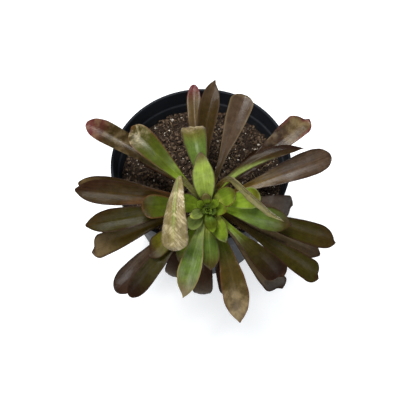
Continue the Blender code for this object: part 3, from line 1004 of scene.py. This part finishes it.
def leaf_frames(node):
    """A leaf's middle line, side, squared half width, half thickness and cup, by station."""
    stem = np.array([v.co for v in frame["nodes"]["stem"].data.vertices])

    def from_stem(point):
        return np.linalg.norm(stem - np.array(point), axis=1).min()

    base, rings, tip = read_sections(node, LEAF_SIDES, from_stem)
    middles, sides, widths, thicknesses, edges = [], [], [], [], []
    for ring in rings:
        a, b, over, under = paired_points(ring)
        middles.append((over + under) / 2)
        sides.append(a - b)
        widths.append((a - b).length / 2)
        thicknesses.append((over - under).length / 2)
        edges.append((a + b) / 2)
    middles = np.array([base, *middles, tip])
    sides = unit(np.array(sides))
    lift = np.array(edges) - middles[1:-1]
    ahead = unit(np.gradient(middles, axis=0))[1:-1]
    widest = int(np.argmax(widths))
    if np.dot(np.cross(ahead[widest], sides[widest]), lift[widest]) < 0:
        sides[widest] *= -1
    for step in (1, -1):
        row = widest + step
        while 0 <= row < len(sides):
            if np.dot(sides[row], sides[row - step]) < 0:
                sides[row] *= -1
            row += step
    cups = np.einsum("ij,ij->i", lift, unit(np.cross(ahead, sides)))
    gone = distances(middles)

    def with_ends(values, last):
        return np.concatenate([[values[0]], values, [last]])

    return {
        "length": gone[-1],
        "stations": gone / gone[-1],
        "middles": middles,
        "sides": with_ends(sides, sides[-1]),
        "squares": with_ends(widths, 0.0) ** 2,
        "thicknesses": with_ends(thicknesses, 0.0),
        "cups": with_ends(cups, cups[-1]),
    }


def blunted(half, along, blunt):
    """Half widths along a leaf, rounded off where its tip is blunt."""
    closing = half[np.argmin(np.abs(along - BLUNT_FROM))]
    beyond = np.clip(along - BLUNT_FROM, 0, None) / (1 - BLUNT_FROM)
    rounded = closing * np.clip(1 - beyond**BLUNT_POWER, 0, None) ** 0.5
    fuller = np.maximum(half, half * (1 - blunt) + rounded * blunt)
    return np.where(along > BLUNT_FROM, fuller, half)


def leaf_section():
    """Round one section: across, face, and the skin's height in half thicknesses."""
    angles = np.arange(LEAF_ROUND) / LEAF_ROUND * math.tau
    across, face = np.cos(angles), np.sin(angles)
    over = (1 - np.abs(across) ** 2.4) ** 0.7
    under = (1 - np.abs(across) ** 1.8) ** 0.8
    return across, face, np.where(face >= 0, over, -under)


def rippled(across, along, seed):
    """The waves of both margins, different on either side."""
    values = []
    for side in 3.0 * np.sign(across):
        waves = [
            share * noise.noise(Vector((along * count, side, seed * step)))
            for count, step, share in MARGIN_WAVES
        ]
        values.append(sum(waves))
    return np.array(values)


def dented(across, along, seed):
    """Slanting folds on both sides of the midrib, for places in metres."""
    wide, long, step = DENT_GRAIN
    values = []
    for u in across:
        slanted = (along - CREASE_SLANT * abs(u)) * long
        place = Vector((abs(u) * wide, slanted, seed * step + np.sign(u)))
        values.append(noise.noise(place) + 0.5 * noise.noise(place * 2.1))
    return np.array(values)


def leaf_mesh(node, seed):
    """A leaf's fine skin: cupped, channelled at the stalk, ribbed and wavy at its margins."""
    settings = bpy.context.scene.aeonium_leaf
    habit = {**PLAIN_HABIT, **LEAF_HABITS.get(node, {})}
    read = leaf_frames(node)
    length = read["length"]
    along = np.sin(np.linspace(0, 1, LEAF_ROWS) * math.pi / 2) ** 0.9 * LAST_ROW

    def curve(label):
        return smooth_through(read["stations"], read[label], along)

    middles = curve("middles")
    sides = unit(curve("sides"))
    ahead = unit(np.gradient(middles, axis=0))
    normals = unit(np.cross(ahead, sides))
    half = np.sqrt(np.clip(curve("squares"), 0, None))
    thick = np.minimum(np.clip(curve("thicknesses"), 0, None), half * MOST_THICK)
    widest = half.max()
    half = blunted(half, along, habit["blunt"])
    stalk = 1 - eased(along, *STALK_OPENS)
    swell = 0.3 + 0.7 * np.sin(along**0.8 * math.pi)
    cups = curve("cups") + (habit["cup"] * swell + STALK_CUP * stalk) * half
    folds, rolls = habit["fold"] * half * swell, habit["roll"] * half * swell

    across, face, body = leaf_section()
    channel = (face > 0) * (1 - across**2) ** 2
    shown = face * habit["shown"]
    groove = np.exp(-((across / GROOVE_WIDTH) ** 2)) * (shown > 0)
    keel = np.exp(-((across / KEEL_WIDTH) ** 2)) * (shown < 0)
    teeth = np.array([noise.noise(Vector((u * 3.1, seed * 2.7, 0.4))) for u in across])

    points = np.empty((LEAF_ROWS, LEAF_ROUND, 3))
    for row, at in enumerate(along):
        lift = cups[row] * across**2 + thick[row] * body
        lift += folds[row] * np.sqrt(across**2 + 0.01) - rolls[row] * across**4
        lift -= settings.channel * thick[row] * stalk[row] * channel
        rib = habit["shown"] * (1 - eased(at, *RIB_FADES))
        lift -= settings.rib_depth * groove * rib * min(1, half[row] / GROOVE_FULL)
        lift -= KEEL_HEIGHT * thick[row] * keel * rib
        ripple = rippled(across, at, seed) * np.abs(across) ** 3 * eased(at, *RIPPLES_START)
        lift += habit["wave"] * RIPPLE_LIFT * half[row] * ripple
        reach = half[row] * across * (1 + RIPPLE_REACH * habit["wave"] * ripple)
        inside = (1 - across**4) * eased(at, *DENTS_START)
        lift += dented(across * half[row], at * length, seed) * inside * habit["dents"]
        forward = habit["skew"] * widest * across * eased(at, *SKEW_START)
        forward += habit["ragged"] * 2 * widest * teeth * eased(at, *TEETH_START)
        points[row] = middles[row] + (
            sides[row] * reach[:, None]
            + normals[row] * lift[:, None]
            + ahead[row] * forward[:, None]
        )
    tuck = ahead[0] * settings.tuck
    points = np.concatenate([[points[0] - tuck], points])
    along = np.concatenate([[0.0], along])[:, None]
    half = np.concatenate([[half[0]], half])[:, None]
    tip = points[-1].mean(0) + ahead[-1] * ((1 - LAST_ROW) * length)

    def by_point(first, last, *values):
        stacked = np.stack(np.broadcast_arrays(*values), axis=-1)
        return np.concatenate([[first], stacked.reshape(-1, 3), [last]])

    own = seed * LAID_STEP
    attributes = {
        "grown": by_point((0, 0, 0), (0, 1, 0), across, along, shown),
        "laid": by_point((0, 0, own), (0, length, own), across * half, along * length, own),
    }
    base = read["middles"][0] - tuck
    return rounded_mesh(node.replace("leaf_", "grown_"), points, base, tip, attributes)


def grow_leaves(kind):
    """Replaces every packed leaf of one kind with its fine leaf."""
    slots = {part["node"]: part["material_slot"] for part in frame["record"]["subparts"]}
    for seed, node in enumerate(LEAF_COLOURS, start=1):
        if node.startswith(f"leaf_{kind}_"):
            name = node.replace("leaf_", "") + "_leaf"
            add_piece(name, leaf_mesh(node, seed), slots[node], leaf_material(node), (node,))


# The bud's outermost and innermost leaf: length, half width, how far its foot sits below the
# stem's tip and how far out from it, and its lean from the stem's line
BUD_OUTER = (6.2 * MM, 2.5 * MM, 1.8 * MM, 1.5 * MM, math.radians(52))
BUD_INNER = (3.6 * MM, 1.3 * MM, 1.2 * MM, 0.5 * MM, math.radians(12))

# Rows and sides of a bud leaf, how far it bends inwards and the half width of its tip
BUD_ROWS, BUD_SIDES = 14, 10
BUD_BEND = 1.1 * MM
BUD_TIP = 0.02 * MM


def bud_leaf(base, out, outward, share):
    """One folded leaf of the bud; share is 0 for the outermost and 1 for the innermost."""
    pairs = zip(BUD_OUTER, BUD_INNER)
    length, width, below, aside, lean = (a + (b - a) * share for a, b in pairs)
    across = out.cross(outward)
    ahead = outward * math.sin(lean) + out * math.cos(lean)
    facing = across.cross(ahead)
    foot = base - out * below + outward * aside
    points = []
    for row in range(BUD_ROWS):
        t = row / (BUD_ROWS - 1)
        half = BUD_TIP
        if t < 1:
            half = width * math.sin(math.pi * min(1.0, 0.1 + 0.9 * t**0.8)) ** 0.7
        centre = foot + ahead * (length * t) - facing * (BUD_BEND * t**2)
        for corner in range(BUD_SIDES):
            angle = corner * math.tau / BUD_SIDES
            u = math.cos(angle)
            lift = 0.35 * half * u * u + 0.22 * half * math.sin(angle)
            points.append(centre + across * (half * u) - facing * lift)
    return points, capped_tube(BUD_ROWS, BUD_SIDES)


def grow_bud():
    """The folded youngest leaves that close the heart over the stem's tip."""
    palette = bpy.context.scene.aeonium_palette
    base, rings, _ = read_sections("stem", STEM_SIDES, lambda point: -point.z)
    out = (base - sum(rings[2], Vector()) / STEM_SIDES).normalized()
    right = out.orthogonal().normalized()
    up = out.cross(right)
    shapes = []
    for leaf in range(BUD_LEAVES):
        turn = leaf * GOLDEN_ANGLE
        outward = right * math.cos(turn) + up * math.sin(turn)
        shapes.append(bud_leaf(base, out, outward, leaf / (BUD_LEAVES - 1)))
    mesh = joined_mesh("bud", shapes, smooth=True)
    surface = group_surface("Grit", {
        "Dark": solid(palette.deep), "Mid": solid(palette.leaf), "Light": solid(palette.grass),
        "Scale": 300.0, "Dry": 0.4,
    })
    material = shaded("bud_skin", surface, 0.05 * MM, specular=0.1, flesh=0.2)
    add_piece("heart_bud", mesh, "leaf_green", material)


# Compost

# The compost's lumps and swells: repeats a metre and shares of the height; how far its edge
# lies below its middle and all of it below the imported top; and its room to the pot's wall
LUMPS, FINE_LUMPS, SWELLS = 120, 420, 28
LUMP_SHARE, SWELL_SHARE = 0.35, 0.7
MOUND = 3.5 * MM
SETTLED = 0.6 * MM
SOIL_GAP = 0.3 * MM

# Fine compost: rings of its top, rows of its wall, and points round each
TOP_RINGS, WALL_ROWS, SOIL_ROUND = 120, 6, 300

# Where the stem comes out of the compost, and the room left round it
STEM_AT_SOIL = Vector((0.5 * (STEM_LOW.x + STEM_HIGH.x), -12 * MM))
STEM_ROOM = 9 * MM

# Rows and sides of a straw, and a bark chip's three half sizes beside its size
STRAW_ROWS, STRAW_SIDES = 9, 4
CHIP_SHAPE = (1.5, 0.8, 0.4)


def soil_height(x, y):
    """The compost's surface: a low mound with lumps."""
    settings = bpy.context.scene.aeonium_compost
    share = min(1.0, math.hypot(x, y) / SOIL_RADIUS)
    place = Vector((x, y, 0.0))
    lumps = noise.fractal(place * LUMPS, 0.8, 2.0, 4) + 0.8 * noise.noise(place * FINE_LUMPS)
    swell = noise.noise(place * SWELLS)
    rise = settings.lump_height * (LUMP_SHARE * lumps + SWELL_SHARE * swell)
    return SOIL_HIGH.z - MOUND * share**2 + rise - SETTLED


def scattered(count, seed, reach=0.985):
    """Random places on the compost, clear of the stem, each with its own random numbers."""
    chance = random.Random(seed)
    while count:
        radius = SOIL_RADIUS * reach * math.sqrt(chance.random())
        turn = chance.random() * math.tau
        x, y = radius * math.cos(turn), radius * math.sin(turn)
        if (Vector((x, y)) - STEM_AT_SOIL).length > STEM_ROOM:
            count -= 1
            yield Vector((x, y, soil_height(x, y))), chance


def grain_shape(place, sizes, chance):
    """A broken grain: its points and faces."""
    bm = bmesh.new()
    bmesh.ops.create_icosphere(bm, subdivisions=2, radius=1.0)
    turn = Euler([chance.random() * math.tau for _ in range(3)]).to_matrix()
    shift = Vector([chance.random() * 40 for _ in range(3)])
    points = []
    for vert in bm.verts:
        dented_vert = vert.co * (1 + 0.42 * noise.noise(vert.co * 1.3 + shift))
        points.append(place + turn @ Vector(a * b for a, b in zip(dented_vert, sizes)))
    faces = [[v.index for v in face.verts] for face in bm.faces]
    bm.free()
    return points, faces


def random_size(chance, least, most, rarity):
    """A size in millimetres; the higher the rarity, the fewer grains are big."""
    return (least + (most - least) * chance.random() ** rarity) * MM


def uneven(size, chance, most):
    """A grain's three half sizes, each a random share of its size."""
    return [size * chance.uniform(0.7, most) for _ in range(3)]


def crumb(place, chance):
    size = random_size(chance, 0.45, 2.55, rarity=3)
    return grain_shape(place + UP * (0.35 * size), uneven(size, chance, 1.3), chance)


def perlite_grain(place, chance):
    size = random_size(chance, 0.3, 1.2, rarity=3)
    return grain_shape(place + UP * (0.45 * size), uneven(size, chance, 1.25), chance)


def bark_chip(place, chance):
    size = random_size(chance, 1.0, 2.6, rarity=2)
    sizes = [size * share for share in CHIP_SHAPE]
    return grain_shape(place + UP * (0.3 * size), sizes, chance)


def straw(place, chance):
    """A bent fibre that lies on the compost."""
    length = chance.uniform(4, 13) * MM
    radius = chance.uniform(0.10, 0.30) * MM
    heading = chance.random() * math.tau
    curl = chance.uniform(-1.6, 1.6)
    rise = chance.uniform(0.0, 1.2) * MM
    limit = SOIL_RADIUS * 0.97
    points = []
    at = place.copy()
    for row in range(STRAW_ROWS):
        t = row / (STRAW_ROWS - 1)
        turned = heading + curl * t
        ahead = Vector((math.cos(turned), math.sin(turned), 0))
        side = Vector((-ahead.y, ahead.x, 0))
        at += ahead * (length / STRAW_ROWS)
        if math.hypot(at.x, at.y) > limit:
            at *= limit / math.hypot(at.x, at.y)
        at.z = soil_height(at.x, at.y) + radius + rise * math.sin(t * math.pi)
        thick = radius * (0.35 + 0.65 * math.sin(math.pi * (0.12 + 0.8 * t)))
        for corner in range(STRAW_SIDES):
            angle = corner * math.tau / STRAW_SIDES
            points.append(at + side * (thick * math.cos(angle)) + UP * (thick * math.sin(angle)))
    return points, capped_tube(STRAW_ROWS, STRAW_SIDES)


def grit_material(name, colours, scale, dry, relief):
    """Loose matter in three colours, from dark to light."""
    hues = {label: solid(colour) for label, colour in zip(("Dark", "Mid", "Light"), colours)}
    surface = group_surface("Grit", {**hues, "Scale": scale, "Dry": dry})
    return shaded(name, surface, relief, specular=0.2)


def shades(colour, dark, mid):
    """A colour's dark and middle shades, and the colour itself."""
    return [tuple(share * c for c in colour) for share in (dark, mid, 1.0)]


def lay_compost():
    """The compost's body, with a lumpy top and a wall down to its foot."""
    settings = bpy.context.scene.aeonium_compost
    turns = [side / SOIL_ROUND * math.tau for side in range(SOIL_ROUND)]
    rows = []
    for ring in range(1, TOP_RINGS + 1):
        radius = SOIL_RADIUS * (ring / TOP_RINGS)
        places = [(radius * math.cos(turn), radius * math.sin(turn)) for turn in turns]
        rows.append([(x, y, soil_height(x, y)) for x, y in places])
    tops = [point[2] for point in rows[-1]]
    foot_radius = wall_radius(SOIL_LOW.z) - bpy.context.scene.aeonium_pot.wall - SOIL_GAP
    for step in range(1, WALL_ROWS + 1):
        share = step / WALL_ROWS
        radius = SOIL_RADIUS + (foot_radius - SOIL_RADIUS) * share
        rows.append([
            (radius * math.cos(turn), radius * math.sin(turn), top + (SOIL_LOW.z - top) * share)
            for turn, top in zip(turns, tops)
        ])
    mesh = rounded_mesh("compost", np.array(rows), (0, 0, soil_height(0, 0)), (0, 0, SOIL_LOW.z))
    peat = (settings.peat_dark, settings.peat_mid, settings.peat_light)
    material = grit_material("peat", peat, 620.0, 0.16, 1.4 * MM)
    add_piece("compost_bed", mesh, "peat", material, ("soil",))


def scatter_grains():
    """Crumbs, perlite, bark chips and fibres on the compost, each kind joined as one piece."""
    settings = bpy.context.scene.aeonium_compost
    peat = (settings.peat_dark, settings.peat_mid, settings.peat_light)
    perlite = shades(settings.perlite_white, 0.35, 0.75)
    bark = (settings.bark_dark, settings.bark_mid, settings.bark_light)
    gold = shades(settings.straw_gold, 0.3, 0.7)
    kinds = (
        ("compost_crumbs", crumb, scattered(settings.crumbs, 11),
         grit_material("crumb_peat", peat, 420.0, 0.6, 0.8 * MM)),
        ("perlite_grains", perlite_grain, scattered(settings.perlite, 23),
         grit_material("perlite", perlite, 900.0, 0.5, 0.3 * MM)),
        ("bark_chips", bark_chip, scattered(settings.chips, 37),
         grit_material("bark_chip", bark, 500.0, 0.3, 0.6 * MM)),
        ("straw_fibres", straw, scattered(settings.straws, 41, reach=0.93),
         grit_material("straw", gold, 300.0, 0.6, 0.2 * MM)),
    )
    for piece, shape, places, material in kinds:
        shapes = [shape(place, chance) for place, chance in places]
        add_piece(piece, joined_mesh(piece, shapes, smooth=shape is straw), "peat", material)


# Stem


# Fine stem: its rows and the points round each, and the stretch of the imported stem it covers
STEM_ROWS, STEM_ROUND = 150, 40
STEM_SPAN = (0.004, 0.975)

# Its scars: spirals side by side, the most they stand out, and roughness repeats a metre
SCAR_SPIRALS = 3
SCAR_LIMIT = 0.25 * MM
STEM_ROUGHNESS = 160

# The heights between which the bark turns to green
YOUNG_FROM, YOUNG_FULL = STEM_HIGH.z - 14 * MM, STEM_HIGH.z - 6 * MM


def stem_line():
    """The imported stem's middle points and radii, from the foot up."""
    foot = Vector((0.5 * (STEM_LOW.x + STEM_HIGH.x), STEM_HIGH.y, STEM_LOW.z))
    base, rings, tip = read_sections("stem", STEM_SIDES, lambda point: (point - foot).length)
    middles = np.array([base, *(sum(ring, Vector()) / STEM_SIDES for ring in rings), tip])
    radii = np.array([(ring[0] - ring[STEM_SIDES // 2]).length / 2 for ring in rings])
    return middles, np.concatenate([[radii[0]], radii, [0.6 * radii[-1]]])


def grow_stem():
    """The woody stem with a spiral of leaf scars and a green young end."""
    settings = bpy.context.scene.aeonium_stem
    middles, radii = stem_line()
    gone = distances(middles)
    along = np.linspace(*STEM_SPAN, STEM_ROWS)
    middle = smooth_through(gone / gone[-1], middles, along)
    radius = smooth_through(gone / gone[-1], radii, along)
    ahead = unit(np.gradient(middle, axis=0))
    side = unit(np.cross(ahead, np.array([1.0, 0.0, 0.0])))
    other = np.cross(ahead, side)
    angles = np.arange(STEM_ROUND) / STEM_ROUND * math.tau
    x, y = np.cos(angles), np.sin(angles)
    points = np.empty((STEM_ROWS, STEM_ROUND, 3))
    for row in range(STEM_ROWS):
        distance = along[row] * gone[-1]
        turn = distance / settings.scar_spacing * math.tau
        ridge = np.cos(angles * SCAR_SPIRALS - turn) * 0.5 + 0.5
        places = [Vector((a, b, distance * STEM_ROUGHNESS)) * 2 for a, b in zip(x, y)]
        rough = np.array([noise.noise(place) for place in places])
        swell = radius[row] + settings.scar_depth * (ridge**3 - 0.6 + 0.5 * rough)
        swell = np.minimum(swell, radius[row] + SCAR_LIMIT)
        points[row] = (
            middle[row]
            + side[row] * (swell * x)[:, None]
            + other[row] * (swell * y)[:, None]
        )
    mesh = rounded_mesh("grown_stem", points, middles[0], middle[-1])
    barked = group_surface("Bark", {
        "Bark": solid(settings.bark), "Scar": solid(settings.scar), "Scale": 260.0,
    })
    young_green = solid(bpy.context.scene.aeonium_palette.deep)

    def surface(tree):
        colour, roughness, height = barked(tree)
        young = ease(tree, parted(tree, object_place(tree))["Z"], YOUNG_FROM, YOUNG_FULL)
        return blend(tree, young, colour, young_green), roughness, height

    material = shaded("bark", surface, 0.5 * MM, specular=0.25)
    add_piece("woody_stem", mesh, "stem_bark", material, ("stem",))


# Pot

# Points round the pot, the rise of the ledge inside its collar and the radius of its corners
POT_ROUND = 216
LEDGE_SLOPE = 0.7 * MM
CORNER_RADIUS = 0.7 * MM

# The pot's underside: it stands on a ring, and its middle is a little hollow
BASE_FLARE, BASE_BEVEL, BASE_HOLLOW = 0.6 * MM, 1.5 * MM, 0.8 * MM
FOOT_RING = 9 * MM

# How far dust reaches over the compost, and the angle from which an edge stays sharp
DUST_OVER_SOIL = 4 * MM
SHARP_FROM = math.radians(40)


def rounded_corners(profile, radius, steps=4):
    """A profile whose corners are turned by short arcs."""
    rounded = [profile[0]]
    for before, corner, after in zip(profile, profile[1:], profile[2:]):
        back, on = (before - corner), (after - corner)
        reach = min(radius, 0.45 * back.length, 0.45 * on.length)
        start, end = corner + back.normalized() * reach, corner + on.normalized() * reach
        for step in range(steps + 1):
            t = step / steps
            rounded.append(start * (1 - t) ** 2 + corner * (2 * t * (1 - t)) + end * t**2)
    rounded.append(profile[-1])
    return rounded


def wall_top():
    """The wall's outer radius where the collar starts."""
    pot = bpy.context.scene.aeonium_pot
    return RIM_RADIUS - pot.collar_taper - pot.collar_step


def wall_radius(height):
    """The wall's outer radius at a height below the collar."""
    pot = bpy.context.scene.aeonium_pot
    share = height / (POT_HIGH.z - pot.collar_height)
    return pot.base_radius + (wall_top() - pot.base_radius) * share


def pot_profile():
    """The pot's outline from the middle of its floor, over the rim, to the middle below."""
    pot = bpy.context.scene.aeonium_pot
    height = POT_HIGH.z
    foot = height - pot.collar_height
    lip = RIM_RADIUS - pot.rim_thickness
    ledge = foot + pot.wall
    corners = [
        (0, pot.floor),
        (wall_radius(pot.floor) - pot.wall, pot.floor),
        (wall_radius(ledge) - pot.wall, ledge),
        (lip - pot.collar_taper, ledge + LEDGE_SLOPE),
        (lip, height),
        (RIM_RADIUS, height),
        (RIM_RADIUS - pot.collar_taper, foot),
        (wall_top(), foot),
        (pot.base_radius + BASE_FLARE, BASE_BEVEL),
        (pot.base_radius - BASE_BEVEL, 0),
        (pot.base_radius - FOOT_RING, 0),
        (pot.base_radius - FOOT_RING - BASE_BEVEL, BASE_HOLLOW),
        (0, BASE_HOLLOW),
    ]
    return rounded_corners([Vector(corner) for corner in corners], CORNER_RADIUS)


def mould_pot():
    """The nursery pot, turned and drilled."""
    settings = bpy.context.scene.aeonium_pot
    profile = pot_profile()
    angles = np.arange(POT_ROUND) / POT_ROUND * math.tau
    rows = np.array([
        [(p.x * math.cos(a), p.x * math.sin(a), p.y) for a in angles] for p in profile[1:-1]
    ])
    first, last = (0, 0, profile[0].y), (0, 0, profile[-1].y)
    mesh = rounded_mesh("moulded_pot", rows, first, last)
    surface = group_surface("Dusty plastic", {
        "Plastic": solid(settings.plastic), "Dust": solid(settings.dust),
        "Dust Top": SOIL_HIGH.z + DUST_OVER_SOIL, "Amount": 0.16,
    })
    material = shaded("black_plastic", surface, 0.08 * MM, specular=0.06)
    pot = add_piece("nursery_pot", mesh, "black_plastic", material, ("pot",))
    drill_drains(pot)


def drill_drains(pot):
    """Cuts the ring of drain holes through the pot's floor."""
    settings = bpy.context.scene.aeonium_pot
    cutter = bpy.data.meshes.new("drain_cutter")
    bm = bmesh.new()
    for drain in range(settings.drains):
        angle = (drain + 0.5) * math.tau / settings.drains
        place = Vector((math.cos(angle), math.sin(angle), 0)) * settings.drain_circle
        bmesh.ops.create_cone(
            bm, cap_ends=True, segments=32, radius1=settings.drain_radius,
            radius2=settings.drain_radius, depth=4 * settings.floor, matrix=Matrix.Translation(place),
        )
    bm.to_mesh(cutter)
    bm.free()
    drill = bpy.data.objects.new("drain_cutter", cutter)
    bpy.context.scene.collection.objects.link(drill)
    cut = pot.modifiers.new("drains", "BOOLEAN")
    cut.object, cut.operation, cut.solver = drill, "DIFFERENCE", "EXACT"
    graph = bpy.context.evaluated_depsgraph_get()
    done = bpy.data.meshes.new_from_object(pot.evaluated_get(graph))
    pot.modifiers.clear()
    pot.data = done
    bpy.data.objects.remove(drill)
    done.shade_smooth()
    done.set_sharp_from_angle(angle=SHARP_FROM)


# Stage

# Each light's place, width and height, and colour; both look at the middle of the plant
LIGHTS = {
    "window": ((-0.20, 0.16, 1.25), (0.6, 0.5), (1.0, 0.99, 0.97)),
    "fill": ((0.20, -0.85, 0.85), (0.8, 0.5), (0.97, 0.98, 1.0)),
}
LIT_PLACE = Vector((0, -0.03, 0.12))

# Half the floor's width, and how far it lies below the pot
FLOOR_REACH = 3.0
FLOOR_DROP = 0.3 * MM


def area_light(name, power):
    place, size, colour = LIGHTS[name]
    light = bpy.data.lights.new(name, "AREA")
    light.shape = "RECTANGLE"
    light.size, light.size_y = size
    light.energy = power
    light.color = colour
    lamp = bpy.data.objects.new(name, light)
    lamp.location = place
    lamp.rotation_euler = (LIT_PLACE - Vector(place)).to_track_quat("-Z", "Y").to_euler()
    bpy.context.scene.collection.objects.link(lamp)


def set_camera():
    """The camera stands at its viewpoint and is turned by the three angles."""
    stage = bpy.context.scene.aeonium_stage
    down, aside, tilt = stage.look_down, stage.look_aside, stage.tilt
    heading = Vector((math.sin(aside), math.cos(aside), 0))
    ahead = heading * math.cos(down) - UP * math.sin(down)
    right = Vector((math.cos(aside), -math.sin(aside), 0))
    up = right.cross(ahead)
    x = right * math.cos(tilt) + up * math.sin(tilt)
    y = up * math.cos(tilt) - right * math.sin(tilt)
    turn = Matrix((x, y, -ahead)).transposed().to_4x4()
    lens = bpy.data.cameras.new("camera")
    lens.lens, lens.sensor_width = stage.lens, 36.0
    lens.clip_start, lens.clip_end = 0.01, 20.0
    camera = bpy.data.objects.new("camera", lens)
    camera.matrix_world = Matrix.Translation(stage.viewpoint) @ turn
    bpy.context.scene.collection.objects.link(camera)
    bpy.context.scene.camera = camera


def lay_floor():
    """The pale floor, which gives a little light of its own."""
    stage = bpy.context.scene.aeonium_stage
    mesh = bpy.data.meshes.new("floor")
    corners = [(FLOOR_REACH * x, FLOOR_REACH * y, 0) for x, y in ((-1, -1), (1, -1), (1, 1), (-1, 1))]
    mesh.from_pydata(corners, [], [(0, 1, 2, 3)])
    floor = bpy.data.objects.new("floor", mesh)
    floor.location.z = -FLOOR_DROP
    bpy.context.scene.collection.objects.link(floor)
    material = bpy.data.materials.new("floor")
    material.use_nodes = True
    shader = material.node_tree.nodes["Principled BSDF"]
    shader.inputs["Base Color"].default_value = solid(stage.floor)
    shader.inputs["Roughness"].default_value = 0.9
    shader.inputs["Specular IOR Level"].default_value = 0.1
    shader.inputs["Emission Color"].default_value = solid(stage.floor)
    shader.inputs["Emission Strength"].default_value = stage.glow
    mesh.materials.append(material)


def set_stage():
    """The floor, the surrounding light, the two lamps and the camera."""
    stage = bpy.context.scene.aeonium_stage
    lay_floor()
    world = bpy.data.worlds.new("studio")
    world.use_nodes = True
    background = world.node_tree.nodes["Background"]
    background.inputs["Color"].default_value = solid(stage.air)
    background.inputs["Strength"].default_value = stage.sky
    bpy.context.scene.world = world
    area_light("window", stage.key)
    area_light("fill", stage.fill)
    bpy.context.scene.view_settings.view_transform = "Standard"
    set_camera()


# Operators


class AEONIUM_OT_finishes(bpy.types.Operator):
    """Make the shared shader groups that every finish is built from"""

    bl_idname = "aeonium.finishes"
    bl_label = "Shared Finishes"

    def execute(self, context):
        make_leaf_colour_group()
        make_leaf_skin_group()
        make_grit_group()
        make_wear_group()
        make_bark_group()
        return {"FINISHED"}


class AEONIUM_OT_pot(bpy.types.Operator):
    """Mould the nursery pot"""

    bl_idname = "aeonium.pot"
    bl_label = "Nursery Pot"

    def execute(self, context):
        mould_pot()
        return {"FINISHED"}


class AEONIUM_OT_compost(bpy.types.Operator):
    """Lay the compost and scatter what lies on it"""

    bl_idname = "aeonium.compost"
    bl_label = "Compost"

    def execute(self, context):
        lay_compost()
        scatter_grains()
        return {"FINISHED"}


class AEONIUM_OT_stem(bpy.types.Operator):
    """Grow the woody stem"""

    bl_idname = "aeonium.stem"
    bl_label = "Stem"

    def execute(self, context):
        grow_stem()
        return {"FINISHED"}


class AEONIUM_OT_heart_leaves(bpy.types.Operator):
    """Grow the fleshy leaves of the heart"""

    bl_idname = "aeonium.heart_leaves"
    bl_label = "Heart Leaves"

    def execute(self, context):
        grow_leaves("heart")
        grow_bud()
        return {"FINISHED"}


class AEONIUM_OT_inner_leaves(bpy.types.Operator):
    """Grow the short green leaves round the heart"""

    bl_idname = "aeonium.inner_leaves"
    bl_label = "Inner Leaves"

    def execute(self, context):
        grow_leaves("inner")
        return {"FINISHED"}


class AEONIUM_OT_green_leaves(bpy.types.Operator):
    """Grow the long green leaves"""

    bl_idname = "aeonium.green_leaves"
    bl_label = "Green Leaves"

    def execute(self, context):
        grow_leaves("green")
        return {"FINISHED"}


class AEONIUM_OT_outer_leaves(bpy.types.Operator):
    """Grow the bronze outer leaves"""

    bl_idname = "aeonium.outer_leaves"
    bl_label = "Outer Leaves"

    def execute(self, context):
        grow_leaves("outer")
        return {"FINISHED"}


class AEONIUM_OT_limp_leaves(bpy.types.Operator):
    """Grow the two limp leaves"""

    bl_idname = "aeonium.limp_leaves"
    bl_label = "Limp Leaves"

    def execute(self, context):
        grow_leaves("limp")
        return {"FINISHED"}


class AEONIUM_OT_stage(bpy.types.Operator):
    """Set the floor, the lights and the camera"""

    bl_idname = "aeonium.stage"
    bl_label = "Stage"

    def execute(self, context):
        set_stage()
        return {"FINISHED"}


OPERATORS = (
    AEONIUM_OT_finishes,
    AEONIUM_OT_pot,
    AEONIUM_OT_compost,
    AEONIUM_OT_stem,
    AEONIUM_OT_heart_leaves,
    AEONIUM_OT_inner_leaves,
    AEONIUM_OT_green_leaves,
    AEONIUM_OT_outer_leaves,
    AEONIUM_OT_limp_leaves,
    AEONIUM_OT_stage,
)


class AEONIUM_PT_panel(bpy.types.Panel):
    """Lists the build steps"""

    bl_idname = "AEONIUM_PT_panel"
    bl_label = "Potted Aeonium"
    bl_space_type = "VIEW_3D"
    bl_region_type = "UI"
    bl_category = "Aeonium"

    def draw(self, context):
        for operator in OPERATORS:
            self.layout.operator(operator.bl_idname)


CLASSES = (*SETTINGS.values(), *OPERATORS, AEONIUM_PT_panel)


def register():
    for made in CLASSES:
        bpy.utils.register_class(made)
    for name, group in SETTINGS.items():
        setattr(bpy.types.Scene, name, PointerProperty(type=group))


def unregister():
    for name in SETTINGS:
        delattr(bpy.types.Scene, name)
    for made in reversed(CLASSES):
        bpy.utils.unregister_class(made)


def main():
    register()
    for operator in OPERATORS:
        group, name = operator.bl_idname.split(".")
        getattr(getattr(bpy.ops, group), name)()


if __name__ == "__main__":
    main()
